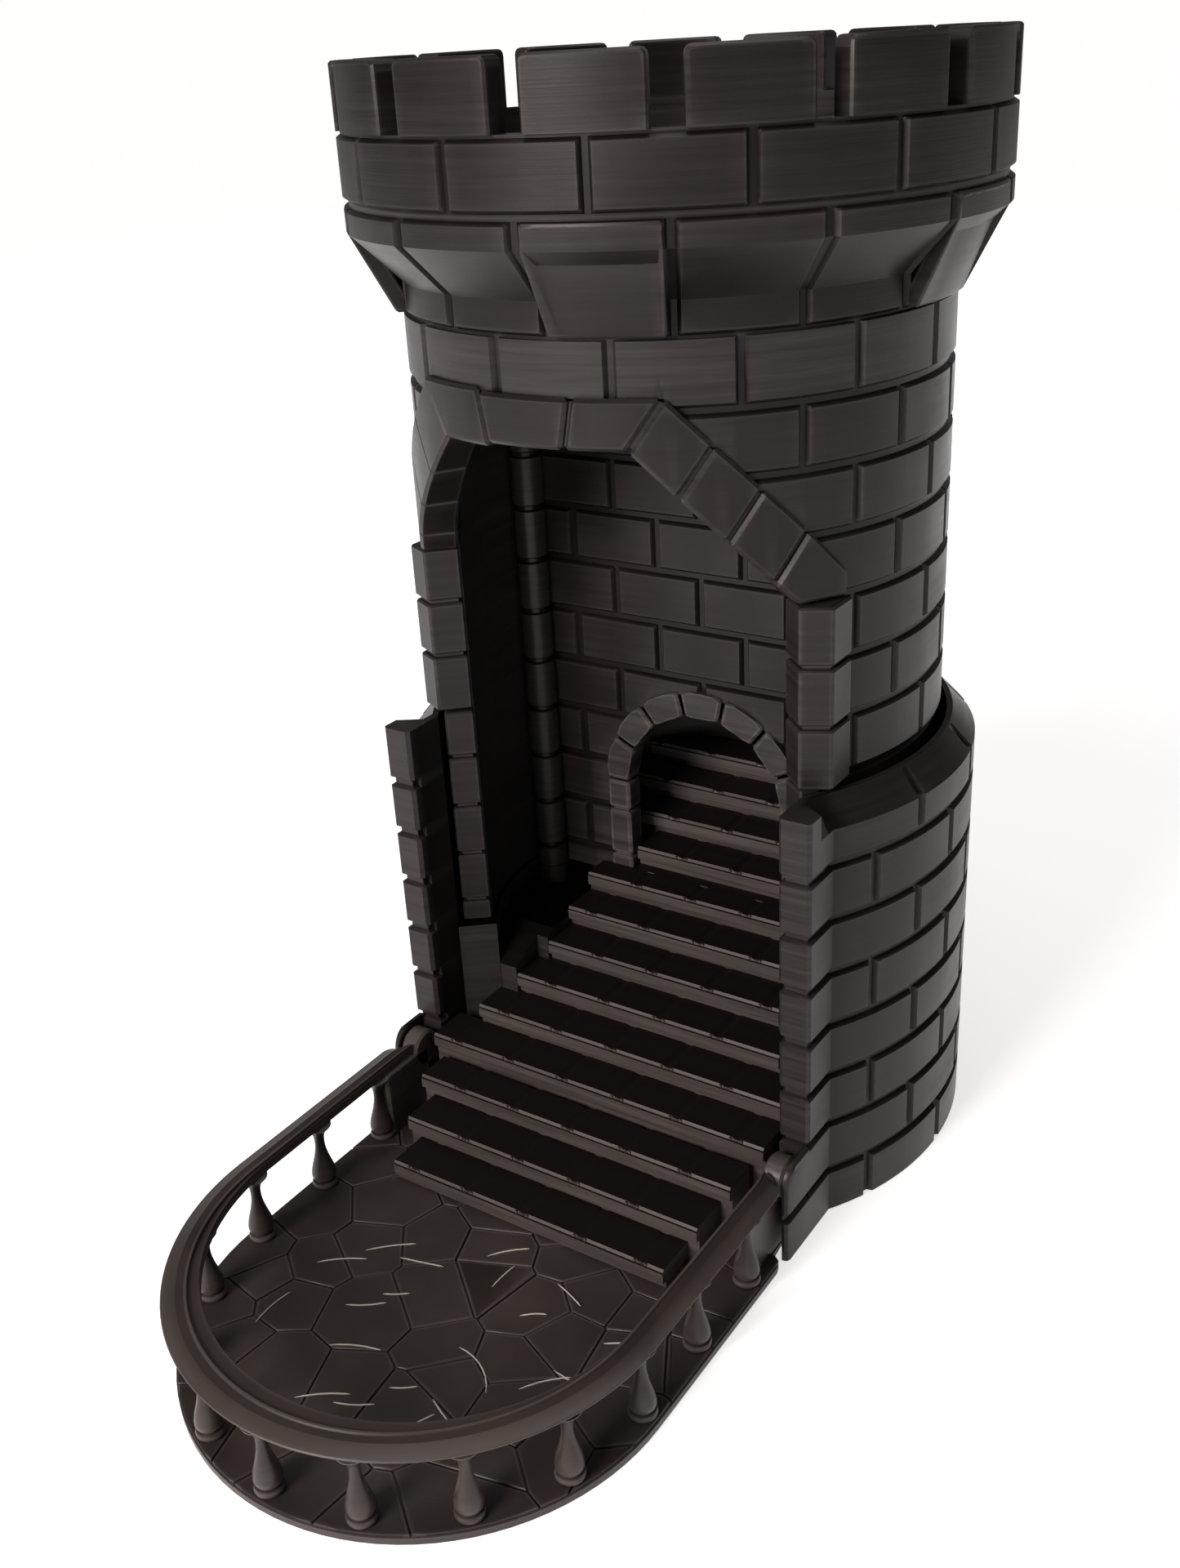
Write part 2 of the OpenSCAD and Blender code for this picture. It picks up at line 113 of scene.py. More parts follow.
def printed_plastic(name, colour, rough, streak=0.5, scuff=0.2, edge_highlight=1.0, sheen=0.38, flat_painted_shade=1.0):
    """Dark printed plastic: fine layer lines, broader banding, lighter edges as a painted highlight, light
    scuffs.
    The flat-face factor is how bright the faces that lie flat are painted, next to the upright ones:
    painted shade, with less sheen there too."""
    mat = bpy.data.materials.new(name)
    mat.use_nodes = True
    tree = mat.node_tree
    nodes, links = tree.nodes, tree.links
    shader = nodes["Principled BSDF"]
    coords = nodes.new("ShaderNodeTexCoord")

    def mapped(scale):
        m = nodes.new("ShaderNodeMapping")
        m.inputs["Scale"].default_value = scale
        links.new(coords.outputs["Object"], m.inputs["Vector"])
        return m.outputs["Vector"]

    def noise_of(vector, scale, detail=2.0, rough_=0.5):
        n = nodes.new("ShaderNodeTexNoise")
        n.inputs["Scale"].default_value = scale
        n.inputs["Detail"].default_value = detail
        n.inputs["Roughness"].default_value = rough_
        links.new(vector, n.inputs["Vector"])
        return n.outputs["Fac"]

    def span(value, lo, hi, to_lo, to_hi):
        return map_range(tree, value, lo, hi, to_lo, to_hi)

    def math_node(kind, a, b):
        m = nodes.new("ShaderNodeMath")
        m.operation = kind
        for socket, v in zip(m.inputs, (a, b)):
            if isinstance(v, (int, float)):
                socket.default_value = v
            else:
                links.new(v, socket)
        return m.outputs[0]

    def tint(factor, a, b):
        mix = nodes.new("ShaderNodeMix")
        mix.data_type = "RGBA"
        links.new(factor, mix.inputs["Factor"])
        for socket, v in ((mix.inputs["A"], a), (mix.inputs["B"], b)):
            if hasattr(v, "links"):
                links.new(v, socket)
            else:
                socket.default_value = (*v, 1)
        return mix.outputs["Result"]

    layers = noise_of(mapped((6.0, 6.0, 1100.0)), 4.0, 1.0)
    bands = noise_of(mapped((14.0, 14.0, 420.0)), 2.0, 3.0, 0.6)
    cloud = noise_of(coords.outputs["Object"], 45.0, 3.0, 0.55)
    grain = noise_of(coords.outputs["Object"], 1500.0, 2.0, 0.6)

    # Colour: charcoal with a warm tint that drifts, lighter at the edges as a painted highlight
    dark = tuple(c * 0.72 for c in colour)
    warm = (colour[0] * 1.35, colour[1] * 1.16, colour[2] * 1.02)
    base = tint(span(cloud, 0.3, 0.75, 0, 1), dark, warm)
    geometry = nodes.new("ShaderNodeNewGeometry")
    edge = span(geometry.outputs["Pointiness"], 0.505, 0.56, 0, 1)
    edge_highlight_colour = tuple(edge_highlight * (c * 3.2 + 0.015) for c in colour)
    edge_highlight_mask = math_node("MULTIPLY", edge, span(bands, 0.3, 0.7, 0.25, 0.8))
    base = tint(edge_highlight_mask, base, edge_highlight_colour)
    # Painted shade: faces that lie flat are painted darker and given less sheen
    if flat_painted_shade < 1.0:
        split = nodes.new("ShaderNodeSeparateXYZ")
        links.new(coords.outputs["Normal"], split.inputs[0])
        lies_flat = span(math_node("ABSOLUTE", split.outputs["Z"], 0.0), 0.6, 0.95, 0, 1)
        base = tint(lies_flat, base, tuple(c * flat_painted_shade for c in colour))
        links.new(span(lies_flat, 0, 1, sheen, sheen * flat_painted_shade), shader.inputs["Specular IOR Level"])
    else:
        shader.inputs["Specular IOR Level"].default_value = sheen
    links.new(base, shader.inputs["Base Color"])

    # Roughness: layers catch the light differently, scuffs are duller
    r = math_node("ADD", rough, span(bands, 0.3, 0.7, -0.06 * streak, 0.1 * streak))
    r = math_node("ADD", r, span(cloud, 0.35, 0.7, -0.05, 0.07))
    links.new(r, shader.inputs["Roughness"])
    shader.inputs["IOR"].default_value = 1.42

    height = math_node("MULTIPLY", layers, 0.25)
    height = math_node("ADD", height, math_node("MULTIPLY", bands, 0.5 * streak))
    height = math_node("ADD", height, math_node("MULTIPLY", grain, scuff))
    bump = nodes.new("ShaderNodeBump")
    bump.inputs["Strength"].default_value = 0.35
    bump.inputs["Distance"].default_value = 0.00012
    links.new(height, bump.inputs["Height"])
    links.new(bump.outputs["Normal"], shader.inputs["Normal"])
    return mat


CHARCOAL = (0.018, 0.0152, 0.0142)
# A darker and a lighter copy of the one charcoal plastic: painted shade for the walls, painted light for
# the rail
PAINTED_SHADE_CHARCOAL = tuple(c * 0.38 for c in CHARCOAL)
PAINTED_LIGHT_CHARCOAL = tuple(c * 1.5 for c in CHARCOAL)
wall_mat = printed_plastic("printed_wall", PAINTED_SHADE_CHARCOAL, 0.36, streak=0.35, sheen=0.28)
# The small arch's stone edges get a stronger painted highlight
small_arch_mat = printed_plastic("printed_small_arch", PAINTED_SHADE_CHARCOAL, 0.36, streak=0.35, edge_highlight=3.0, sheen=0.28)
# The plain parts, deep beside the steps, are painted darker still, with darker flat faces: painted shade
plain_painted_shade_mat = printed_plastic("printed_plain", tuple(c * 0.7 for c in PAINTED_SHADE_CHARCOAL), 0.52, flat_painted_shade=0.2)
floor_mat = printed_plastic("printed_floor", CHARCOAL, 0.38, scuff=0.5)
rail_mat = printed_plastic("printed_rail", PAINTED_LIGHT_CHARCOAL, 0.38)
# The stairs take a lighter copy of the charcoal, painted light on the nosings, and their treads get painted
# shade
stair_mat = printed_plastic("printed_stairs", tuple(c * 1.3 for c in CHARCOAL), 0.44, flat_painted_shade=0.3)
string_mat = printed_plastic("printed_string", (0.16, 0.15, 0.135), 0.3)
MATERIAL = {
    "wall_plastic": wall_mat, "plain_plastic": plain_painted_shade_mat,
    "floor_plastic": floor_mat, "rail_plastic": rail_mat,
}


# ---- Mesh helpers ----
def shade(bm, degrees):
    """Smooth shading, with edges sharper than that angle left sharp."""
    limit = math.radians(degrees)
    for e in bm.edges:
        e.smooth = len(e.link_faces) == 2 and e.calc_face_angle(0.0) < limit
    for f in bm.faces:
        f.smooth = True


def finish_piece(name, bm, body, slot, nodes=(), sharp=SHARP, weld=True, look=None):
    """Turns a bmesh in millimetres into a piece that rides on a body. look is its material
    where that is not the slot's usual one."""
    if weld:
        bmesh.ops.remove_doubles(bm, verts=bm.verts, dist=1e-4)
    bmesh.ops.recalc_face_normals(bm, faces=bm.faces)
    shade(bm, sharp)
    mesh = bpy.data.meshes.new(name)
    bm.to_mesh(mesh)
    bm.free()
    mesh.transform(Matrix.Scale(MM, 4))
    obj = bpy.data.objects.new(name, mesh)
    bpy.context.scene.collection.objects.link(obj)
    mesh.materials.append(look or MATERIAL[slot])
    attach(obj, body)
    if nodes:
        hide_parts(*nodes)
    return obj


def joint_depth(x, joints, period=None):
    """How deep the nearest mortar joint is at x."""
    best = 0.0
    for j in joints:
        gap = abs(x - j)
        if period:
            gap = min(gap, abs(period - gap))
        if gap >= JOINT_HALF:
            continue
        if gap <= JOINT[0][0]:
            return JOINT[0][1]
        for (x0, d0), (x1, d1) in zip(JOINT, JOINT[1:]):
            if x0 <= gap <= x1:
                best = max(best, d0 + (d1 - d0) * (gap - x0) / (x1 - x0))
    return best


def joint_lines(lo, hi, joints, spacing, extra=()):
    """Grid positions from lo to hi that follow every joint's profile and fill the gaps between."""
    marks = {lo, hi, *[e for e in extra if lo <= e <= hi]}
    for j in joints:
        for offset in (*[at for at, _ in JOINT], JOINT_HALF + EDGE_HIGHLIGHT_BAND):
            for m in (j - offset, j + offset):
                if lo < m < hi:
                    marks.add(m)
    marks = sorted(marks)
    merged = [marks[0]]
    for m in marks[1:]:
        if m - merged[-1] > 0.03:
            merged.append(m)
    merged[-1] = hi
    out = [merged[0]]
    for a, b in zip(merged, merged[1:]):
        n = max(1, math.ceil((b - a) / spacing))
        out += [a + (b - a) * i / n for i in range(1, n + 1)]
    return out


class Courses:
    """Rows of bricks between levels, each with its own vertical joints."""

    def __init__(self, levels, rows, period=None, edges=(False, False)):
        self.levels, self.rows, self.period = levels, rows, period
        inner = levels[1:-1]
        self.mortar = [*([levels[0]] if edges[0] else []), *inner, *([levels[-1]] if edges[1] else [])]

    def depth(self, s, z):
        d = joint_depth(z, self.mortar)
        for k, joints in enumerate(self.rows):
            if self.levels[k] <= z <= self.levels[k + 1] and joints:
                d = max(d, joint_depth(s, joints, self.period))
        return d

    def columns(self, lo, hi, spacing, extra=()):
        joints = sorted({round(j, 5) for row in self.rows for j in row})
        if self.period:
            joints = [j + k * self.period for j in joints for k in (-1, 0, 1)]
        return joint_lines(lo, hi, joints, spacing, extra)

    def heights(self, extra=()):
        beside = [m + gap for m in self.mortar for gap in (-JOINT_HALF - EDGE_HIGHLIGHT_BAND, JOINT_HALF + EDGE_HIGHLIGHT_BAND)]
        return joint_lines(self.levels[0], self.levels[-1], self.mortar, UNSPLIT, (*beside, *extra))


def ring_joints(radius, offset):
    """Where the joints of one course fall round a ring, as lengths at that radius."""
    return [math.radians(offset + PITCH * k) * radius for k in range(STONES)]


def brick_ring(courses, radius, bore, radius_at=None):
    """A closed brick ring: grooved outside, smooth inside. radius_at(z) may vary the outside."""
    around = 2 * math.pi * radius
    columns = courses.columns(0.0, around, ROUND_STEP)[:-1]
    heights = courses.heights()
    bm = bmesh.new()
    outer, inner = [], []
    for z in heights:
        r_here = radius_at(z) if radius_at else radius
        row = []
        for s in columns:
            row.append(bm.verts.new(ring_point(r_here - courses.depth(s, z), s / radius, z)))
        outer.append(row)
    for z in (heights[0], heights[-1]):
        inner.append([bm.verts.new(ring_point(bore, s / radius, z)) for s in columns])
    skin(bm, outer + [inner[1], inner[0]], closed=True)
    return bm


def skin(bm, loops, ends=True, closed=False):
    """Joins a stack of loops of equal length with quads, and closes it with caps or on itself."""
    n = len(loops[0])
    pairs = list(zip(loops, loops[1:]))
    if closed:
        pairs.append((loops[-1], loops[0]))
    for lower, upper in pairs:
        for i in range(n):
            j = (i + 1) % n
            bm.faces.new((lower[i], lower[j], upper[j], upper[i]))
    if ends and not closed:
        bm.faces.new(list(reversed(loops[0])))
        bm.faces.new(loops[-1])


def ring_point(radius, angle, z):
    return radius * math.sin(angle), -radius * math.cos(angle), z


def inset_outline(points, gap):
    """A convex outline, counter-clockwise, moved inwards by gap."""
    out = []
    n = len(points)
    for i in range(n):
        p0, p1, p2 = Vector(points[i - 1]), Vector(points[i]), Vector(points[(i + 1) % n])
        e0, e1 = (p1 - p0).normalized(), (p2 - p1).normalized()
        n0, n1 = Vector((-e0.y, e0.x)), Vector((-e1.y, e1.x))
        k = (n0 + n1).normalized()
        out.append(tuple(p1 + k * (gap / max(0.3, k.dot(n0)))))
    return out


def on_cylinder(radius):
    """Places (s, z, d) on a round wall of that radius, s measured from the front, d outwards."""
    return lambda s, z, d: ring_point(radius + d, s / radius, z)


def cut_away(obj, cutter_bm):
    """Cuts a closed shape out of a piece, and tidies the cut's edges."""
    mesh = bpy.data.meshes.new("cutter")
    bmesh.ops.recalc_face_normals(cutter_bm, faces=cutter_bm.faces)
    cutter_bm.to_mesh(mesh)
    cutter_bm.free()
    mesh.transform(Matrix.Scale(MM, 4))
    cutter = bpy.data.objects.new("cutter", mesh)
    bpy.context.scene.collection.objects.link(cutter)
    mod = obj.modifiers.new("cut", "BOOLEAN")
    mod.operation = "DIFFERENCE"
    mod.solver = "EXACT"
    mod.object = cutter
    bpy.context.view_layer.update()
    depsgraph = bpy.context.evaluated_depsgraph_get()
    result = bpy.data.meshes.new_from_object(obj.evaluated_get(depsgraph))
    obj.modifiers.remove(mod)
    old = obj.data
    obj.data = result
    bpy.data.meshes.remove(old)
    bpy.data.objects.remove(cutter)
    bpy.data.meshes.remove(mesh)
    bm = bmesh.new()
    bm.from_mesh(obj.data)
    shade(bm, SHARP)
    bm.to_mesh(obj.data)
    bm.free()


def prism(bm, outline, low, high, chamfer, place=None, slice_every=0.0, keep=None):
    """A closed block: an outline (u, v), from w = low to high, with its edges chamfered and its broad
    faces split EDGE_HIGHLIGHT_BAND inside them, so that the painted edge highlight stays at the edges.
    keep(edge) leaves an edge sharp; place(u, v, w) puts a point in the frame."""
    place = place or (lambda u, v, w: (u, v, w))
    area = sum(p[0] * q[1] - q[0] * p[1] for p, q in zip(outline, outline[1:] + outline[:1]))
    points = list(outline) if area > 0 else list(reversed(outline))
    tmp = bmesh.new()
    lower = [tmp.verts.new((p[0], p[1], low)) for p in points]
    upper = [tmp.verts.new((p[0], p[1], high)) for p in points]
    n = len(points)
    for i in range(n):
        j = (i + 1) % n
        tmp.faces.new((lower[i], lower[j], upper[j], upper[i]))
    tmp.faces.new(upper)
    tmp.faces.new(list(reversed(lower)))
    edges = [e for e in tmp.edges if not (keep and keep(e))]
    if chamfer:
        bmesh.ops.bevel(tmp, geom=edges, offset=chamfer, segments=1, affect="EDGES",
                        clamp_overlap=True, profile=0.5)
        broad = [f for f in tmp.faces if f.calc_area() / f.calc_perimeter() > 0.6]
        bmesh.ops.inset_individual(tmp, faces=broad, thickness=EDGE_HIGHLIGHT_BAND, use_even_offset=True)
    if slice_every:
        s0 = min(v.co.x for v in tmp.verts)
        s1 = max(v.co.x for v in tmp.verts)
        cuts = int((s1 - s0) / slice_every)
        for k in range(1, cuts + 1):
            geom = tmp.verts[:] + tmp.edges[:] + tmp.faces[:]
            bmesh.ops.bisect_plane(tmp, geom=geom, plane_co=(s0 + (s1 - s0) * k / (cuts + 1), 0, 0),
                                   plane_no=(1, 0, 0), dist=1e-5)
    index = {v: i for i, v in enumerate(tmp.verts)}
    made = [bm.verts.new(place(*v.co)) for v in tmp.verts]
    for f in tmp.faces:
        bm.faces.new([made[index[v]] for v in f.verts])
    tmp.free()


def lathe(bm, profile, centre, segments):
    """Turns a closed profile of (radius, z) points about a vertical axis."""
    rings = []
    for r, z in profile:
        if r < 1e-6:
            rings.append([bm.verts.new((centre[0], centre[1], z))])
        else:
            rings.append([bm.verts.new((
                centre[0] + r * math.cos(2 * math.pi * k / segments),
                centre[1] + r * math.sin(2 * math.pi * k / segments), z)) for k in range(segments)])
    for a, b in zip(rings, rings[1:]):
        for k in range(segments):
            j = (k + 1) % segments
            if len(a) == 1 and len(b) == 1:
                continue
            if len(a) == 1:
                bm.faces.new((a[0], b[j], b[k]))
            elif len(b) == 1:
                bm.faces.new((a[k], a[j], b[0]))
            else:
                bm.faces.new((a[k], a[j], b[j], b[k]))


SIDES = (("left", -1), ("right", 1))


# ---- Tower ----
BODY_LEVELS = [CORBEL_Z - COURSE * k for k in range(7, -1, -1)]
DOOR_HALF = 53.3
SPRING_Z = foot_of("door_arch")
QUOIN_Z = foot_of("door_quoins_right")
EXTRADOS_Z = top_of("door_arch")
ARCH_THICK = 9.0
ARCH_R = TOWER_R + 1.0
ARCH_HALF_TOP = 24.8


def tower_wall():
    """The round wall, smooth below the base's coping, with the doorway cut out."""
    rows = [[], *[ring_joints(TOWER_R, ODD if k % 2 else EVEN) for k in range(7)]]
    courses = Courses([TOWER_FOOT, *BODY_LEVELS], rows, period=2 * math.pi * TOWER_R)
    bm = brick_ring(courses, TOWER_R, BORE_R,
                    radius_at=lambda z: TOWER_R if z > BODY_LEVELS[0] - 0.2 else TOWER_R - 0.9)
    wall = finish_piece("tower_wall", bm, "tower", "wall_plastic", ["tower_body"])

    # Four-sided sections of the doorway, one after another round the wall
    half = math.radians(DOOR_HALF + 3.4) * ARCH_R
    flat = ARCH_HALF_TOP - 0.2
    marks = sorted({flat, -flat, *[half * k / 16 for k in range(-16, 17)]})
    place = on_cylinder(ARCH_R)
    cutter = bmesh.new()
    sections = []
    for s in marks:
        top = EXTRADOS_Z - 0.5 - max(0.0, abs(s) - flat)
        corners = [(TOWER_FOOT - 2, -17), (TOWER_FOOT - 2, 14), (top, 14), (top, -17)]
        sections.append([cutter.verts.new(place(s, z, d)) for z, d in corners])
    skin(cutter, sections)
    cut_away(wall, cutter)


def arch_outline(offset):
    """Points (s, z) along the arch from the crown's half joint to the springing, right side.
    offset is how far below the extrados they lie, from 0 to the thickness of the arch stones."""
    t = offset / ARCH_THICK
    lean = ARCH_HALF_TOP - 6.4 * t
    top = EXTRADOS_Z - offset
    points = [(9.3 - 1.7 * t, top), (lean, top)]
    for k in range(1, 4):
        points.append((lean + 7.9 * k, top - 7.75 * k))
    points.append((56.5 - 10.2 * t, SPRING_Z + 4.7 * (1 - t)))
    return points


def door_arch():
    """Nine arch stones bent to the wall, over a core that shows as the mortar."""
    bm = bmesh.new()
    place = on_cylinder(ARCH_R)
    front, back = 0.2, -7.1
    outer, inner = arch_outline(0.0), arch_outline(ARCH_THICK)
    stones = [[(-outer[0][0], outer[0][1]), (-inner[0][0], inner[0][1]), inner[0], outer[0]]]
    for k in range(4):
        stones.append([outer[k], inner[k], inner[k + 1], outer[k + 1]])
    foot = [outer[4], inner[4], inner[5], (outer[5][0], SPRING_Z), outer[5]]
    stones.append(foot)
    for stone in stones:
        for side in ((1,) if stone is stones[0] else (1, -1)):
            face = [(side * s, z) for s, z in stone]
            prism(bm, inset_outline(face, 0.3), back, front, 0.6, place, slice_every=2.6)
    core_out, core_in = arch_outline(0.9), arch_outline(ARCH_THICK - 0.9)
    sections = []
    for side in (-1, 1):
        pairs = list(zip(core_out, core_in))
        for (s0, z0), (s1, z1) in (reversed(pairs) if side < 0 else pairs):
            sections.append([bm.verts.new(place(side * s, z, d)) for s, z, d in (
                (s0, z0, front - 1.0), (s1, z1, front - 1.0), (s1, z1, back + 0.4), (s0, z0, back + 0.4))])
    skin(bm, sections)
    finish_piece("door_arch_stones", bm, "tower", "wall_plastic", ["door_arch"], weld=False)


def door_jambs():
    """Flat-faced quoins above the base, plain jamb stones below, on both sides of the doorway."""
    quoin = [polar(BORE_R, DOOR_HALF), polar(TOWER_R + 0.95, DOOR_HALF - 0.9), (45.6, -28.5),
             (45.6, -21.3), polar(BORE_R + 1.2, DOOR_HALF + 9)]
    plain = [polar(BORE_R - 0.1, DOOR_HALF), polar(TOWER_R, DOOR_HALF),
             polar(TOWER_R, DOOR_HALF + 4.6), polar(BORE_R + 0.4, DOOR_HALF + 4.6)]
    first = BODY_LEVELS[0]
    stacks = (
        ("quoins", quoin, [QUOIN_Z, first + COURSE, first + 2 * COURSE, SPRING_Z], "door_quoins"),
        ("jamb_stones", plain, [TOWER_FOOT, *[first - COURSE * k for k in (4, 3, 2, 1)], QUOIN_Z], ""),
    )
    for name, outline, levels, node in stacks:
        for side, sign in SIDES:
            bm = bmesh.new()
            place = (lambda u, v, w, m=sign: (m * u, v, w))
            for low, high in zip(levels, levels[1:]):
                prism(bm, outline, low + 0.45, high - 0.45, 0.35, place)
            prism(bm, inset_outline(outline, 0.9), levels[0] + 0.4, levels[-1] - 0.4, 0.0, place)
            nodes = [node + "_" + side] if node else ["tower_body"]
            finish_piece(name + "_" + side, bm, "tower", "wall_plastic", nodes, weld=False)


def crown():
    """Corbel course, proud corbels, crown course and merlons."""
    band_z = RING_Z - 4.7
    slope_z = CORBEL_Z + 6.0
    flare = (CROWN_R - TOWER_R) / (band_z - slope_z)

    def outer_r(z):
        return TOWER_R + flare * (min(max(z, slope_z), band_z) - slope_z)

    courses = Courses([CORBEL_Z, RING_Z], [ring_joints(TOWER_R, ODD)],
                      period=2 * math.pi * TOWER_R, edges=(True, True))
    heights = sorted({*courses.heights(), slope_z, band_z})
    columns = courses.columns(0.0, 2 * math.pi * TOWER_R, ROUND_STEP)[:-1]
    bm = bmesh.new()
    loops = [[bm.verts.new(ring_point(outer_r(z) - courses.depth(s, z), s / TOWER_R, z)) for s in columns]
             for z in heights]
    for r, z in ((CROWN_BORE_R, RING_Z), (BORE_R, CORBEL_Z)):
        loops.append([bm.verts.new(ring_point(r, s / TOWER_R, z)) for s in columns])
    skin(bm, loops, ends=False, closed=True)
    finish_piece("corbel_course", bm, "tower", "wall_plastic", ["corbel_ring"])

    # Proud corbels: a straight slope from the band down to the wall
    bm = bmesh.new()
    half = math.radians(PITCH / 2 - 1.2) * TOWER_R
    low, high = CORBEL_Z + 0.7, RING_Z - 0.7
    for k in range(5):
        turn = math.radians(18 + 72 * k)

        def place(u, v, w, turn=turn):
            t = min(1.0, (v - CORBEL_Z) / (band_z - CORBEL_Z))
            face = TOWER_R + 1.1 + (CROWN_R + 0.2 - TOWER_R - 1.1) * t
            return ring_point(min(face + w, CROWN_R), turn + u / TOWER_R, v)
        outline = [(-half, low), (half, low), (half, band_z), (half, high), (-half, high), (-half, band_z)]
        prism(bm, outline, -3.4, 0.0, 0.35, place, slice_every=2.5)
    finish_piece("proud_corbels", bm, "tower", "wall_plastic", ["corbels"], weld=False)

    courses = Courses([RING_Z, MERLON_Z], [ring_joints(CROWN_R, EVEN)],
                      period=2 * math.pi * CROWN_R, edges=(True, True))
    bm = brick_ring(courses, CROWN_R, CROWN_BORE_R)
    finish_piece("crown_course", bm, "tower", "wall_plastic", ["crown_ring"])

    # Merlons: bent blocks with rounded upper corners
    bm = bmesh.new()
    half = math.radians(PITCH / 2) * CROWN_R - 2.65
    soft = 1.0
    corner = [(half - soft + soft * math.cos(a), TOWER_TOP - soft + soft * math.sin(a))
              for a in (0.0, math.pi / 4, math.pi / 2)]
    outline = [(-half, MERLON_Z), (half, MERLON_Z), *corner, *[(-x, z) for x, z in reversed(corner)]]
    for k in range(STONES):
        turn = math.radians(ODD + PITCH * (k + 0.5))

        def place(u, v, w, turn=turn):
            return ring_point(CROWN_R + w, turn + u / CROWN_R, v)
        prism(bm, outline, CROWN_BORE_R - CROWN_R, 0.0, 0.55, place, slice_every=3.0,
              keep=lambda e: all(abs(v.co.y - MERLON_Z) < 1e-3 for v in e.verts))
    finish_piece("merlon_stones", bm, "tower", "wall_plastic", ["merlons"], weld=False)


# ---- Partition, small arch and corner columns ----
PART_Y = node_box("partition_wall")[0].y
PART_BACK = node_box("partition_wall")[1].y
ARCH_IN_R = 18.5
ARCH_OUT_R = node_box("inner_arch")[1].x
SMALL_ARCH_Z = top_of("inner_arch") - ARCH_OUT_R
SMALL_ARCH_Y = node_box("inner_arch")[0].y
BRICK = 20.0


def partition():
    """The brick wall across the tower, cut for the small arch."""
    top = node_box("partition_wall")[1].z - 2.2
    levels = [TOWER_FOOT, *[z for z in [BODY_LEVELS[0] + COURSE * k for k in range(-4, 6)] if z < top], top]
    rows = []
    for k in range(len(levels) - 1):
        shift = 0.0 if k % 2 == 0 else BRICK / 2
        rows.append([BRICK * n + shift for n in range(-3, 3)])
    courses = Courses(levels, rows)
    half = math.sqrt(BORE_R ** 2 - PART_Y ** 2) - 0.1
    bm = bmesh.new()
    loops = []
    for z in courses.heights():
        row = [bm.verts.new((x, PART_Y + courses.depth(x, z), z))
               for x in courses.columns(-half, half, UNSPLIT)]
        row += [bm.verts.new((x, PART_BACK, z)) for x in (half - 0.7, 0.7 - half)]
        loops.append(row)
    skin(bm, loops)
    wall = finish_piece("partition_bricks", bm, "tower", "wall_plastic", ["partition_wall"])
    cutter = bmesh.new()
    r = ARCH_OUT_R - 0.5
    outline = [(-r, TOWER_FOOT - 3), (r, TOWER_FOOT - 3)]
    outline += [(r * math.cos(math.pi * k / 36), SMALL_ARCH_Z + r * math.sin(math.pi * k / 36))
                for k in range(37)]
    prism(cutter, outline, -PART_BACK - 5, -PART_Y + 5, 0.0, lambda u, v, w: (u, -w, v))
    cut_away(wall, cutter)


def inner_arch():
    """Seven arch stones on two jambs of coursed stones, over a core."""
    bm = bmesh.new()
    upright = (lambda u, v, w: (u, -w, v))
    back, front = -PART_BACK, -SMALL_ARCH_Y
    count = 7

    def stone_ring(a0, a1, r0, r1, steps):
        outer = [(r1 * math.cos(a0 + (a1 - a0) * i / steps), r1 * math.sin(a0 + (a1 - a0) * i / steps))
                 for i in range(steps + 1)]
        inner = [(r0 * math.cos(a1 + (a0 - a1) * i / steps), r0 * math.sin(a1 + (a0 - a1) * i / steps))
                 for i in range(steps + 1)]
        return [(x, z + SMALL_ARCH_Z) for x, z in outer + inner]
    gap = 0.33 / ARCH_IN_R
    for k in range(count):
        a0, a1 = math.pi * k / count, math.pi * (k + 1) / count
        prism(bm, stone_ring(a0 + gap, a1 - gap, ARCH_IN_R, ARCH_OUT_R, 4), back, front, 0.45, upright)
        core = stone_ring(a0 - 0.02, a1 + 0.02, ARCH_IN_R + 0.8, ARCH_OUT_R - 0.8, 4)
        prism(bm, core, back + 0.3, front - 0.85, 0.0, upright)
    levels = [TOWER_FOOT, BODY_LEVELS[0] - 4 * COURSE, BODY_LEVELS[0] - 3 * COURSE, SMALL_ARCH_Z]
    for sign in (-1, 1):
        for low, high in zip(levels, levels[1:]):
            prism(bm, [(sign * ARCH_IN_R, low + 0.3), (sign * ARCH_OUT_R, low + 0.3),
                       (sign * ARCH_OUT_R, high - 0.3), (sign * ARCH_IN_R, high - 0.3)],
                  back, front, 0.45, upright)
        near, far = sign * (ARCH_IN_R + 0.8), sign * (ARCH_OUT_R - 0.8)
        foot = TOWER_FOOT + 0.1
        prism(bm, [(near, foot), (far, foot), (far, SMALL_ARCH_Z), (near, SMALL_ARCH_Z)],
              back + 0.3, front - 0.85, 0.0, upright)
    finish_piece("inner_arch_stones", bm, "tower", "wall_plastic", ["inner_arch"], weld=False,
                 look=small_arch_mat)


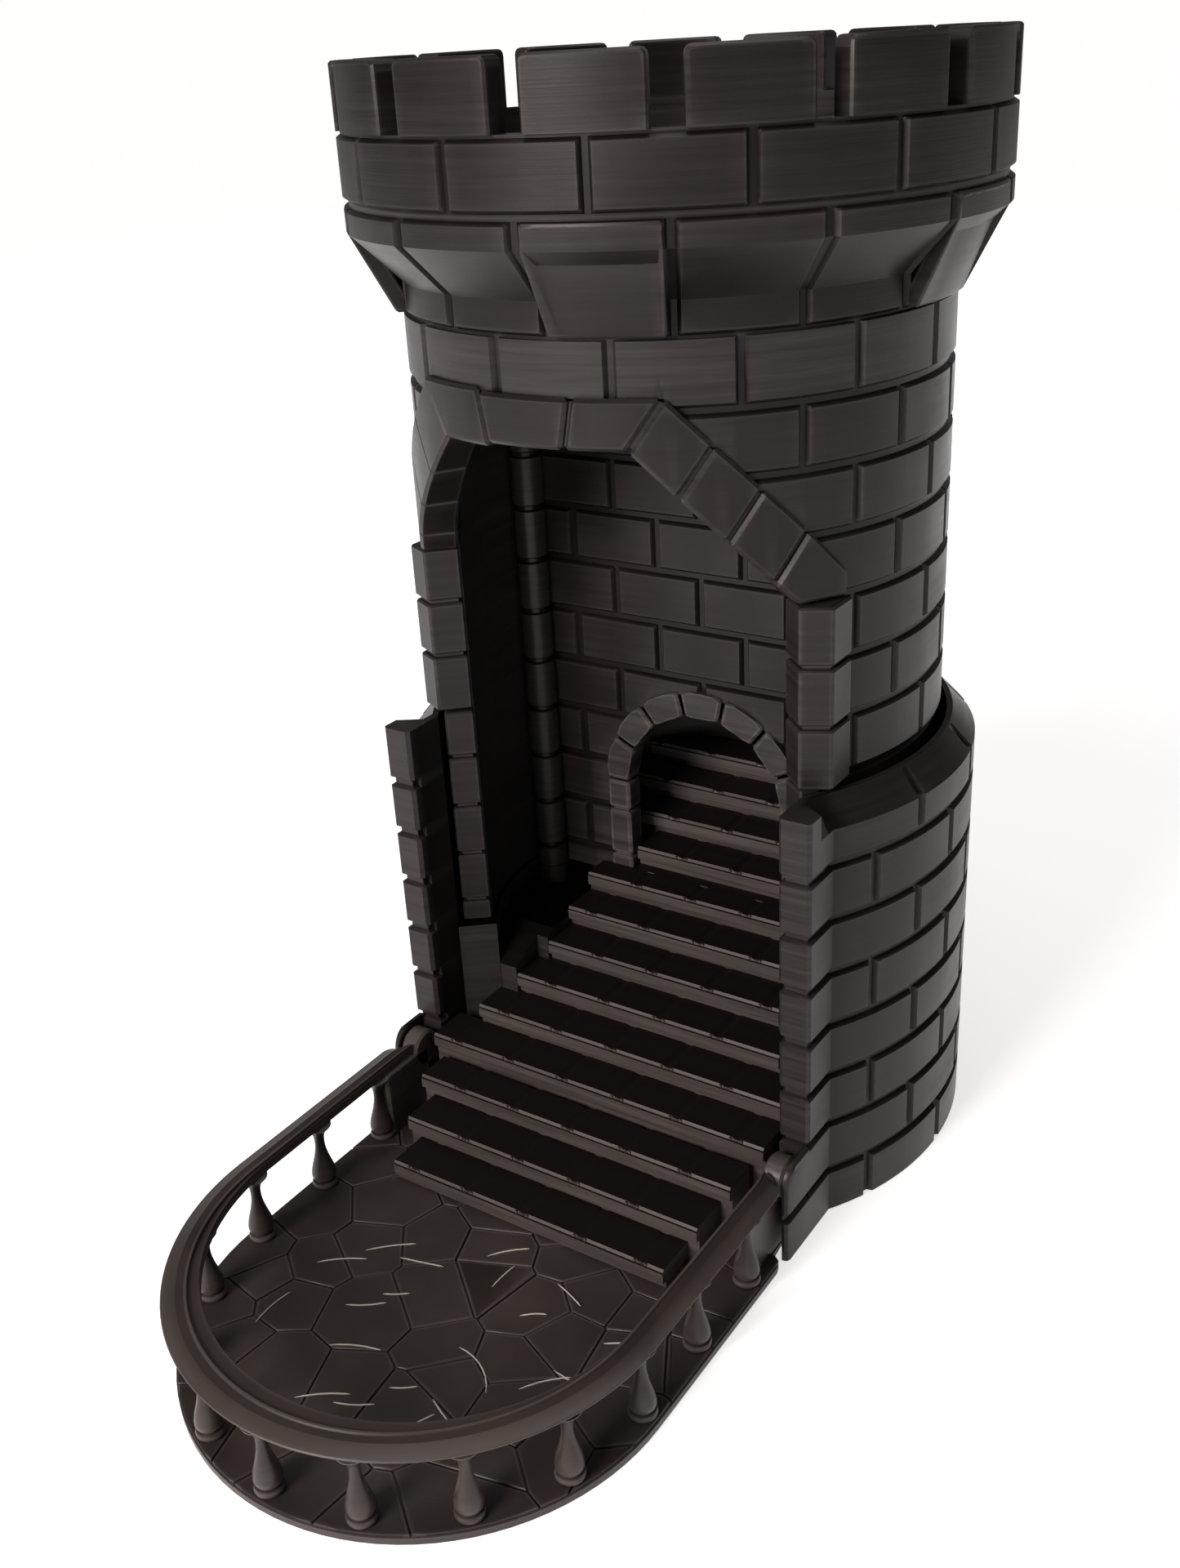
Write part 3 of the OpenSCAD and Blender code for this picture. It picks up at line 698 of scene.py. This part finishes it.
def columns():
    """Round corner columns with a joint at every course."""
    low, high = node_box("corner_column_right")
    radius = (high.x - low.x) / 2
    centre_x = (high.x + low.x) / 2
    centre_y = low.y + radius
    levels = [z for z in [BODY_LEVELS[0] + COURSE * k for k in range(-5, 7)] if low.z + 2 < z < high.z - 2]
    for side, sign in SIDES:
        bm = bmesh.new()
        profile = [(0.0, low.z), (radius, low.z)]
        for z in levels:
            for offset, depth in ((-0.75, 0.0), (-0.4, 0.55), (0.4, 0.55), (0.75, 0.0)):
                profile.append((radius - depth, z + offset))
        profile += [(radius, high.z), (0.0, high.z)]
        lathe(bm, profile, (sign * centre_x, centre_y), 32)
        finish_piece("column_" + side, bm, "tower", "wall_plastic", ["corner_column_" + side])


# ---- Base ----
HALF_W = node_box("cheek_right")[1].x
SLOT_HALF = node_box("cheek_right")[0].x
FRONT_Y = node_box("cheek_right")[0].y
EAR_TOP = node_box("cheek_right")[0].z
EAR_FRONT = node_box("hinge_ear_right")[0].y
EAR_IN = HALF_W - 1.5
HINGE_Y = -44.5
HINGE_Z = 16.2
BEVEL_Z = COPING_Z + 7.0
BEVEL_R = 52.4


def shell_half(z, lengths, front, corner):
    """The right half of the base wall at height z, from the back round the outside to the slot and
    back along the inside: x, y, the outward normal, the length round the arc, and 1 where grooved.
    Above BEVEL_Z the wall leans in, but the stone at its front end stays upright."""
    inward = max(0.0, z - BEVEL_Z)
    r = SHELL_R - inward * (SHELL_R - BEVEL_R) / (BASE_H - BEVEL_Z)
    x = HALF_W - inward
    kink = math.asin(x / r)
    out = []
    for s in lengths:
        a = s / SHELL_R
        out.append((r * math.sin(a), -r * math.cos(a), math.sin(a), -math.cos(a), s, 1))
    nx, ny = 1 + math.sin(kink), -math.cos(kink)
    size = math.hypot(nx, ny)
    out.append((x, -r * math.cos(kink), nx / size, ny / size, None, 1))
    if corner:
        c = corner
        tilt = math.tan(math.pi / 8)
        out += [(x, -33.4, 1, 0, None, 1), (HALF_W, -36.4, 1, 0, None, 1),
                (HALF_W, front + c, 1, -tilt, None, 1), (HALF_W - c, front, tilt, -1, None, 1),
                (SLOT_HALF + c, front, -tilt, -1, None, 1), (SLOT_HALF, front + c, -1, -tilt, None, 1)]
    else:
        out += [(HALF_W, front, 1, -1, None, 1), (SLOT_HALF, front, -1, -1, None, 1)]
    out += [(SLOT_HALF, front + 2.4, -1, 0, None, 1), (SLOT_HALF, front + 2.5, -1, 0, None, 0)]
    start = math.asin(SLOT_HALF / SHELL_BORE_R)
    steps = 24
    for i in range(steps + 1):
        a = start + (math.pi - start) * i / steps
        out.append((SHELL_BORE_R * math.sin(a), -SHELL_BORE_R * math.cos(a), 0, 0, None, 0))
    return out


def shell_wall(name, levels, offsets, front, corner, nodes, extra=()):
    """One band of the base wall: courses of bricks, joints only on the round part."""
    first = math.asin(HALF_W / SHELL_R) * SHELL_R + 2.0
    every = ring_joints(SHELL_R, ODD) + ring_joints(SHELL_R, EVEN)
    lengths = joint_lines(first, math.pi * SHELL_R, every, ROUND_STEP)[::-1]
    rows = [ring_joints(SHELL_R, offset) for offset in offsets]
    edges = (levels[0] > 1, levels[-1] < BASE_H - 1)
    courses = Courses(levels, rows, period=2 * math.pi * SHELL_R, edges=edges)
    bm = bmesh.new()
    loops = []
    for z in courses.heights(extra=extra):
        half = shell_half(z, lengths, front, corner)
        sides = []
        for sign in (1, -1):
            points = []
            for x, y, nx, ny, s, grooved in half:
                d = 0.0
                if grooved:
                    d = joint_depth(z, courses.mortar)
                    if s is not None:
                        d = max(d, courses.depth(sign * s, z) * max(0.0, 1 - max(0.0, z - BEVEL_Z) / 1.5))
                points.append((sign * (x - nx * d), y - ny * d, z))
            sides.append(points)
        right, left = sides
        loops.append([bm.verts.new(p) for p in right + left[-2:0:-1]])
    skin(bm, loops)
    finish_piece(name, bm, "base", "wall_plastic", nodes)


def base_walls():
    low = [0.0, EAR_TOP - COURSE, EAR_TOP]
    high = [EAR_TOP + COURSE * k for k in range(6)]
    shell_wall("lower_courses", low, [EVEN, ODD], -40.0, 0.0, ["base_shell"])
    shell_wall("upper_courses", high, [EVEN, ODD, EVEN, ODD, EVEN], FRONT_Y, 0.7,
               ["base_shell", "cheek_left", "cheek_right"])
    shell_wall("coping_stones", [high[-1], BASE_H], [ODD], FRONT_Y, 0.7, ["base_coping"],
               extra=(BEVEL_Z, BASE_H - 0.3))


def ears():
    """The side walls' lowest two courses, carried forward past the knuckles with a round front."""
    reach = HINGE_Y - EAR_FRONT
    level = EAR_TOP - COURSE
    round_top = [HINGE_Z + (EAR_TOP - HINGE_Z) * math.sin(math.pi / 2 * k / 9) for k in range(1, 9)]
    heights = joint_lines(0.0, EAR_TOP, [level], UNSPLIT, extra=(HINGE_Z, *round_top))
    for side, sign in SIDES:
        bm = bmesh.new()
        loops = []
        for z in heights:
            lift = max(0.0, (z - HINGE_Z) / (EAR_TOP - HINGE_Z))
            front = HINGE_Y - reach * math.sqrt(max(0.0, 1 - lift * lift))
            d = joint_depth(z, [level])
            outer = HALF_W - d - max(0.0, z - (EAR_TOP - 0.7))
            loops.append([bm.verts.new((sign * x, y, z)) for x, y in (
                (EAR_IN, -40.0), (EAR_IN, front + 0.3), (EAR_IN + 0.2, front), (outer - 0.8, front),
                (outer - 0.25, front + 0.3), (outer, front + 0.9), (outer, -40.0))])
        skin(bm, loops)
        finish_piece("ear_" + side, bm, "base", "wall_plastic", ["hinge_ear_" + side])


# ---- Stairs ----
GOING = 8.29
RISE = 4.57
FIRST_Y = node_box("tray_steps")[0].y
FIRST_Z = top_of("tray_steps") - 2 * RISE
STEP_LEFT = (32.0, 34.5, 37.0, 39.7, 33.4, 28.8, 26.0, 26.0, 26.0)
STEP_RIGHT = (32.0, 34.5, 37.0, 39.7, 39.7, 34.4, 30.1, 26.0, 26.0)
NECK_HALF = 17.9
LIP = 3.05
STONE = 13.5


def stair_step(bm, n, left, right, floor_z, back=None, round_r=None):
    """A step: a proud nosing with a fine bead along its top, and stones that end in shallow joints."""
    y0 = FIRST_Y + GOING * n
    top = FIRST_Z + RISE * n
    back = back if back is not None else y0 + GOING + 1.2
    shift = STONE / 2 if n % 2 else 0.0
    joints = [STONE * k + shift for k in range(-4, 4) if 1.5 - left < STONE * k + shift < right - 1.5]
    sections = []
    for x in joint_lines(-left, right, joints, 2.2 if round_r else UNSPLIT):
        t = joint_depth(x, joints) / JOINT[0][1]
        end = min(back, math.sqrt(round_r ** 2 - x * x)) if round_r else back
        profile = [(end, floor_z), (y0 + 1.0, floor_z), (y0 + 1.0, top - LIP), (y0 + 0.15, top - LIP),
                   (y0, top - LIP + 0.15), (y0, top - 0.8), (y0 + 0.3, top - 0.74),
                   (y0 + 0.16 + 0.2 * t, top - 0.5 - 0.2 * t), (y0 + 0.5, top - 0.35 * t),
                   (y0 + 1.2, top - 0.22 * t), (end, top - 0.22 * t)]
        sections.append([bm.verts.new((x, y, z)) for y, z in profile])
    skin(bm, sections)
    for j in joints:
        for edge in (-1.25, 1.25):
            bead(bm, (j + edge, y0 + 0.3, top - 0.3), 0.36)


def bead(bm, centre, radius):
    """A small bead of plastic left where the nozzle stopped."""
    made = bmesh.ops.create_icosphere(bm, subdivisions=2, radius=radius)
    bmesh.ops.translate(bm, vec=centre, verts=made["verts"])


def stairs():
    bm = bmesh.new()
    floor_z = 2.6
    for n in range(3, 8):
        stair_step(bm, n, STEP_LEFT[n], STEP_RIGHT[n], floor_z)
    # The landing is wide up to the partition, and as narrow as the small arch beyond it
    landing = SMALL_ARCH_Y - 0.3
    stair_step(bm, 8, STEP_LEFT[8], STEP_RIGHT[8], floor_z, back=landing)
    behind = FIRST_Y + GOING * 9 + 1.2
    prism(bm, [(-NECK_HALF, landing), (NECK_HALF, landing), (NECK_HALF, behind), (-NECK_HALF, behind)],
          floor_z, FIRST_Z + RISE * 8, 0.0)
    stair_step(bm, 9, NECK_HALF, NECK_HALF, floor_z)
    for n in range(10, 13):
        y = FIRST_Y + GOING * n
        half = math.sqrt(43.0 ** 2 - (y + 1.3) ** 2)
        stair_step(bm, n, half, half, floor_z, round_r=43.0)
    finish_piece("stair_stones", bm, "base", "floor_plastic", ["base_stairs"], weld=False, look=stair_mat)

    bm = bmesh.new()
    for n in range(3):
        stair_step(bm, n, STEP_LEFT[n], STEP_RIGHT[n], 1.3, back=HINGE_Y - 0.05 if n == 2 else None)
    finish_piece("tray_stair_stones", bm, "tray", "floor_plastic", ["tray_steps"], weld=False,
                 look=stair_mat)


# ---- Tray ----
TRAY_HALF = node_box("tray_plate")[1].x
TRAY_Y = node_box("tray_plate")[0].y + TRAY_HALF
PLATE_TOP = top_of("tray_plate")
RAIL_LOW = foot_of("tray_handrail")
RAIL_TOP = top_of("tray_handrail")
NECK_W = node_box("tray_knuckle_right")[1].x - 1.2
NECK_Y = -50.0
NECK_ROUND = 2.6
BALUSTER_LINE = 43.9


def tray_side(half, steps=6):
    """The tray's right edge from the hinge to the round end: the neck, its rounded corner, the side."""
    over = half - TRAY_HALF
    points = [(NECK_W + over, HINGE_Y), (NECK_W + over, NECK_Y)]
    for k in range(1, steps + 1):
        a = math.pi / 2 * (1 - k / steps)
        points.append((half - NECK_ROUND + NECK_ROUND * math.cos(a),
                       NECK_Y - NECK_ROUND + NECK_ROUND * math.sin(a)))
    points.append((half, TRAY_Y))
    return points


def tray_outline(half, steps=48):
    side = tray_side(half)
    arc = [(half * math.cos(math.pi * k / steps), TRAY_Y - half * math.sin(math.pi * k / steps))
           for k in range(1, steps)]
    return side + arc + [(-x, y) for x, y in reversed(side)]


def plate():
    bm = bmesh.new()
    prism(bm, tray_outline(TRAY_HALF), 0.0, PLATE_TOP - 0.7, 0.25)
    finish_piece("tray_base_plate", bm, "tray", "rail_plastic", ["tray_plate"])


def clip(points, normal, limit):
    """The part of a convex outline where point . normal < limit."""
    out = []
    for p, q in zip(points, points[1:] + points[:1]):
        dp = p[0] * normal[0] + p[1] * normal[1] - limit
        dq = q[0] * normal[0] + q[1] * normal[1] - limit
        if dp <= 0:
            out.append(p)
        if (dp < 0 < dq) or (dq < 0 < dp):
            t = dp / (dp - dq)
            out.append((p[0] + (q[0] - p[0]) * t, p[1] + (q[1] - p[1]) * t))
    return out


def tidy_outline(points, least=0.5):
    """Drops points that nearly coincide."""
    out = []
    for p in points:
        if not out or math.dist(p, out[-1]) > least:
            out.append(p)
    if len(out) > 1 and math.dist(out[0], out[-1]) < least:
        out.pop()
    return out


def flagstones():
    """Irregular flat stones: each takes the ground nearest to its own seed."""
    rng = random.Random(11)
    half = TRAY_HALF - 0.15
    ground = [(half * math.cos(math.pi * k / 40), TRAY_Y - half * math.sin(math.pi * k / 40))
              for k in range(41)]
    corner = [(half, NECK_Y - 1.2), (half - 1.4, NECK_Y - 0.1)]
    ground += [(-x, y) for x, y in corner] + corner[::-1]
    seeds = []
    tries = 0
    while len(seeds) < 50 and tries < 9000:
        tries += 1
        p = (rng.uniform(-half, half), rng.uniform(TRAY_Y - half, NECK_Y))
        if math.hypot(p[0], min(0, p[1] - TRAY_Y)) > half + 1:
            continue
        if all(math.dist(p, q) > 8.2 for q in seeds):
            seeds.append(p)
    pull = {seed: rng.uniform(0.0, 46.0) for seed in seeds}
    bm = bmesh.new()
    for seed in seeds:
        cell = ground
        for other in seeds:
            if other is seed or math.dist(seed, other) > 45:
                continue
            normal = (other[0] - seed[0], other[1] - seed[1])
            limit = (other[0] ** 2 + other[1] ** 2 - seed[0] ** 2 - seed[1] ** 2) / 2
            limit += (pull[seed] - pull[other]) / 2
            cell = clip(cell, normal, limit)
        cell = tidy_outline(cell)
        if len(cell) < 3:
            continue
        area = sum(p[0] * q[1] - q[0] * p[1] for p, q in zip(cell, cell[1:] + cell[:1])) / 2
        cell = cell if area > 0 else cell[::-1]
        if abs(area) < 12:
            continue
        top = PLATE_TOP - rng.uniform(0.0, 0.18)
        slope = (rng.uniform(-0.004, 0.004), rng.uniform(-0.004, 0.004))

        def place(u, v, w, seed=seed, slope=slope, top=top):
            rise = (u - seed[0]) * slope[0] + (v - seed[1]) * slope[1] if w > top - 0.5 else 0.0
            return u, v, min(PLATE_TOP, w + rise)
        prism(bm, tidy_outline(inset_outline(cell, 0.17), 0.3), 0.9, top, 0.1, place)
    finish_piece("flagstones", bm, "tray", "floor_plastic", ["tray_flagstones"], weld=False)


def string_of_plastic(bm, points, radius):
    """A thin raised string left on the floor: a low ridge along its points."""
    rings = []
    for i, (x, y) in enumerate(points):
        q = points[min(i + 1, len(points) - 1)]
        p = points[max(i - 1, 0)]
        size = math.dist(p, q)
        nx, ny = -(q[1] - p[1]) / size, (q[0] - p[0]) / size
        r = radius * (0.35 if i in (0, len(points) - 1) else 1.0)
        ring = []
        for k in range(8):
            a = 2 * math.pi * k / 8
            ring.append(bm.verts.new((x + nx * r * math.cos(a), y + ny * r * math.cos(a),
                                      PLATE_TOP + r * 0.35 + r * math.sin(a))))
        rings.append(ring)
    skin(bm, rings)


def strings():
    """Short strings scattered over the floor, most of them drawn the same way, and one long curved one."""
    bm = bmesh.new()
    rng = random.Random(5)
    reach = TRAY_HALF - 11
    last_y = FIRST_Y - 2
    usual = 35               # their usual direction, in degrees from +X
    for row in range(6):
        for column in range(5):
            x = 13 * (column - 2) + rng.uniform(-4, 4)
            y = TRAY_Y - 25 + 8.5 * row + rng.uniform(-3, 3)
            turn = math.radians(usual + rng.uniform(-1, 1) ** 3 * 60)
            length = rng.uniform(4, 10)
            kept = rng.random() < 0.7
            along = (length * math.cos(turn), length * math.sin(turn))
            far = (x + along[0], y + along[1])
            if not kept or far[1] > last_y:
                continue
            if any(math.hypot(px, min(0.0, py - TRAY_Y)) > reach for px, py in ((x, y), far)):
                continue
            bend = rng.uniform(-0.06, 0.06)
            points = []
            for t in (0, 0.15, 0.4, 0.65, 0.9, 1):
                aside = bend * math.sin(math.pi * t)
                points.append((x + along[0] * t - along[1] * aside, y + along[1] * t + along[0] * aside))
            string_of_plastic(bm, points, 0.15)
    arc = []
    for k in range(8):
        x, y = polar(12, 180 - math.degrees(0.15 * k))
        arc.append((8 + x, TRAY_Y - 16 + y))
    string_of_plastic(bm, arc, 0.16)
    finish_piece("plastic_strings", bm, "tray", "rail_plastic", weld=False, look=string_mat)


def baluster_profile():
    """Ring foot, undercut, bell that narrows to a neck, and a cap that flares under the rail."""
    h = RAIL_LOW - PLATE_TOP
    low = [(0.0, 0.0), (2.35, 0.0), (2.6, 0.25), (2.65, 0.7), (2.45, 1.15), (2.0, 1.4), (1.95, 1.6)]
    bell = [(2.3, 1.85), (2.5, 2.4), (2.48, 3.1), (2.25, 4.3), (1.85, 5.7), (1.45, 7.1), (1.15, 8.5),
            (1.0, 9.8)]
    cap = [(1.0, h - 3.4), (1.15, h - 2.4), (1.6, h - 1.4), (2.3, h - 0.7), (2.8, h - 0.1),
           (2.8, h + 0.1), (0.0, h + 0.1)]
    return [(r, PLATE_TOP + z) for r, z in low + bell + cap]


def balusters():
    pitch = 18.3
    spots = [(sign * BALUSTER_LINE, TRAY_Y + pitch * n) for sign in (-1, 1) for n in range(3)]
    for k in range(1, 8):
        a = math.radians(22.5 * k)
        spots.append((BALUSTER_LINE * math.cos(a), TRAY_Y - BALUSTER_LINE * math.sin(a)))
    bm = bmesh.new()
    for spot in spots:
        lathe(bm, baluster_profile(), spot, 28)
    finish_piece("turned_balusters", bm, "tray", "rail_plastic", ["tray_balusters"])


def handrail():
    """A flat rail with a raised line, a main band and a sloping outer edge; round the front an inner
    band widens it. Each profile point is (share of the inner band, distance past it, height)."""
    outer = TRAY_HALF + 0.2
    width, widest = 5.0, 2.7
    profile = [(1, 0.0, RAIL_LOW + 0.3), (1, 0.0, RAIL_TOP - 0.75), (0.92, 0.0, RAIL_TOP - 0.6),
               (0, 0.12, RAIL_TOP - 0.6), (0, 0.2, RAIL_TOP - 0.1), (0, 0.35, RAIL_TOP),
               (0, 0.7, RAIL_TOP), (0, 0.9, RAIL_TOP - 0.3), (0, 2.3, RAIL_TOP - 0.3),
               (0, 2.45, RAIL_TOP - 0.38), (0, 4.85, RAIL_TOP - 1.15), (0, width, RAIL_TOP - 1.35),
               (0, 4.9, RAIL_TOP - 1.6), (0, 3.8, RAIL_LOW), (1, 0.3, RAIL_LOW)]

    def section_at(band):
        return [(outer - width - band * share + u, z) for share, u, z in profile]
    end = HINGE_Y - 4.05
    stations = [(NECK_W, end), (NECK_W, NECK_Y), *[p for p in tray_side(outer) if p[1] < NECK_Y]]
    sections = []
    for x, y in stations:
        shift = (outer - x) / width
        sections.append([(u - (u - outer + width) * shift, y, z) for u, z in section_at(0.02)])
    steps = 60
    for k in range(1, steps):
        a = math.pi * k / steps
        inner = math.sqrt((outer - width) ** 2 - (widest * math.cos(a)) ** 2) - widest * math.sin(a)
        band = max(0.02, outer - width - inner)
        sections.append([(r * math.cos(a), TRAY_Y - r * math.sin(a), z) for r, z in section_at(band)])
    sections += [[(-x, y, z) for x, y, z in section] for section in reversed(sections[:len(stations)])]
    bm = bmesh.new()
    skin(bm, [[bm.verts.new(p) for p in section] for section in sections])
    finish_piece("handrail", bm, "tray", "rail_plastic", ["tray_handrail"], sharp=17.0)


def knuckles():
    """A barrel round the hinge axis, on the solid panel that joins plate and rail."""
    low, high = node_box("tray_knuckle_right")
    radius = 4.0
    for side, sign in SIDES:
        bm = bmesh.new()
        steps = 40
        rings = []
        for x, r in ((low.x, 2.2), (low.x, radius - 0.5), (low.x + 0.5, radius),
                     (high.x - 0.5, radius), (high.x, radius - 0.5), (high.x, 1.7)):
            rings.append([bm.verts.new((sign * x, HINGE_Y + r * math.cos(2 * math.pi * k / steps),
                                        HINGE_Z + r * math.sin(2 * math.pi * k / steps)))
                          for k in range(steps)])
        skin(bm, rings)
        panel = [(HINGE_Y, PLATE_TOP - 0.7), (HINGE_Y, HINGE_Z), (HINGE_Y - 3.2, RAIL_LOW + 0.4),
                 (-58.0, RAIL_LOW + 0.4), (-58.0, PLATE_TOP - 0.7)]
        prism(bm, panel, low.x, NECK_W, 0.4, lambda u, v, w, m=sign: (m * w, u, v))
        finish_piece("knuckle_" + side, bm, "tray", "rail_plastic", ["tray_knuckle_" + side], weld=False)


tower_wall()
door_arch()
door_jambs()
crown()
partition()
inner_arch()
columns()
base_walls()
ears()
stairs()
plate()
flagstones()
strings()
balusters()
handrail()
knuckles()

# The plain CAD nodes that stay in view take the printed plastic too, most of them the plain one with its
# painted shade
for node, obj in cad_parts.items():
    if obj.hide_render:
        continue
    plain = plain_painted_shade_mat if not node.startswith("column_stub") else wall_mat
    for slot_ in obj.material_slots:
        slot_.material = plain


# ---- Floor, lights and camera ----
CAMERA_AZIMUTH = 34.845
CAMERA_ELEVATION = 25.153
CAMERA_ROLL = -3.314
TABLE_GLOW = 0.62        # near the object; the far table is as bright as the backdrop
BACKDROP_LOOK = 1.01     # how bright the backdrop is to look at
BACKDROP_LIGHT = 0.28    # and how much of that falls on the object
ROOM_LIGHT = 0.11
CEILING_LIGHT = 0.1
KEY_POWER = 7.0
TOP_POWER = 5.0


def studio():
    """A pale table that glows by itself and is lit, between pale walls, under a darker ceiling, with a soft
    key from the front.
    """
    mesh = bpy.data.meshes.new("floor")
    size, lift = 1.6, -0.0002
    mesh.from_pydata([(-size, -size, lift), (size, -size, lift), (size, size, lift), (-size, size, lift)],
                     [], [(0, 1, 2, 3)])
    floor = bpy.data.objects.new("floor", mesh)
    bpy.context.scene.collection.objects.link(floor)
    mat = bpy.data.materials.new("floor_white")
    mat.use_nodes = True
    shader = mat.node_tree.nodes["Principled BSDF"]
    shader.inputs["Base Color"].default_value = (0.85, 0.85, 0.85, 1)
    shader.inputs["Roughness"].default_value = 0.9
    shader.inputs["Emission Color"].default_value = (1.0, 1.0, 1.0, 1)
    tree = mat.node_tree
    place = tree.nodes.new("ShaderNodeTexCoord")
    from_middle = tree.nodes.new("ShaderNodeVectorMath")
    from_middle.operation = "LENGTH"
    tree.links.new(place.outputs["Object"], from_middle.inputs[0])
    # The table glows by itself, a painted light, weaker near the object so that its shadow shows
    glow = map_range(tree, from_middle.outputs["Value"], 0.2, 0.5, TABLE_GLOW, 1.0)
    tree.links.new(glow, shader.inputs["Emission Strength"])
    mesh.materials.append(mat)

    world = bpy.data.worlds.new("studio")
    world.use_nodes = True
    sky = world.node_tree
    nodes, links = sky.nodes, sky.links
    coords = nodes.new("ShaderNodeTexCoord")

    # A white backdrop behind the object, a dim room in front of it, and a dark ceiling
    behind = nodes.new("ShaderNodeVectorMath")
    behind.operation = "DOT_PRODUCT"
    azimuth = math.radians(CAMERA_AZIMUTH)
    behind.inputs[1].default_value = (-math.sin(azimuth), math.cos(azimuth), 0.0)
    links.new(coords.outputs["Generated"], behind.inputs[0])
    split = nodes.new("ShaderNodeSeparateXYZ")
    links.new(coords.outputs["Generated"], split.inputs[0])
    wall = map_range(sky, behind.outputs["Value"], 0.45, 0.8, ROOM_LIGHT, BACKDROP_LIGHT, "SMOOTHSTEP")
    room = map_range(sky, split.outputs["Z"], 0.06, 0.3, wall, CEILING_LIGHT, "SMOOTHSTEP")
    path = nodes.new("ShaderNodeLightPath")
    level = nodes.new("ShaderNodeMix")
    links.new(path.outputs["Is Camera Ray"], level.inputs["Factor"])
    links.new(room, level.inputs["A"])
    level.inputs["B"].default_value = BACKDROP_LOOK
    back = nodes["Background"]
    back.inputs["Color"].default_value = (1.0, 0.985, 0.97, 1)
    links.new(level.outputs["Result"], back.inputs["Strength"])
    bpy.context.scene.world = world

    def area(name, place, target, power, size, colour):
        light = bpy.data.lights.new(name, "AREA")
        light.energy = power
        light.size = size
        light.color = colour
        obj = bpy.data.objects.new(name, light)
        obj.location = place
        obj.rotation_euler = (Vector(target) - Vector(place)).to_track_quat("-Z", "Y").to_euler()
        bpy.context.scene.collection.objects.link(obj)

    area("key", (-0.1, -0.75, 0.4), (0.0, -0.18, 0.04), KEY_POWER, 0.3, (1.0, 0.88, 0.84))
    area("top", (0.0, 0.0, 1.2), (0.0, 0.0, 0.0), TOP_POWER, 0.8, (1.0, 0.95, 0.91))
    bpy.context.scene.view_settings.view_transform = "Standard"


def camera():
    """The photograph's viewpoint: to the right of the doorway, above the crown's level."""
    azimuth, elevation, roll = (math.radians(a) for a in (CAMERA_AZIMUTH, CAMERA_ELEVATION, CAMERA_ROLL))
    back = Vector((math.sin(azimuth) * math.cos(elevation),
                   -math.cos(azimuth) * math.cos(elevation), math.sin(elevation)))
    level = Vector((math.cos(azimuth), math.sin(azimuth), 0.0))
    rise = back.cross(level)
    right = level * math.cos(roll) + rise * math.sin(roll)
    up = back.cross(right)
    data = bpy.data.cameras.new("camera")
    data.lens = 36.752
    data.sensor_width = 36.0
    data.clip_start = 0.01
    obj = bpy.data.objects.new("camera", data)
    rows = Matrix((right, up, back)).transposed().to_4x4()
    rows.translation = (0.155230, -0.260138, 0.212620)
    obj.matrix_world = rows
    bpy.context.scene.collection.objects.link(obj)
    bpy.context.scene.camera = obj


studio()
camera()
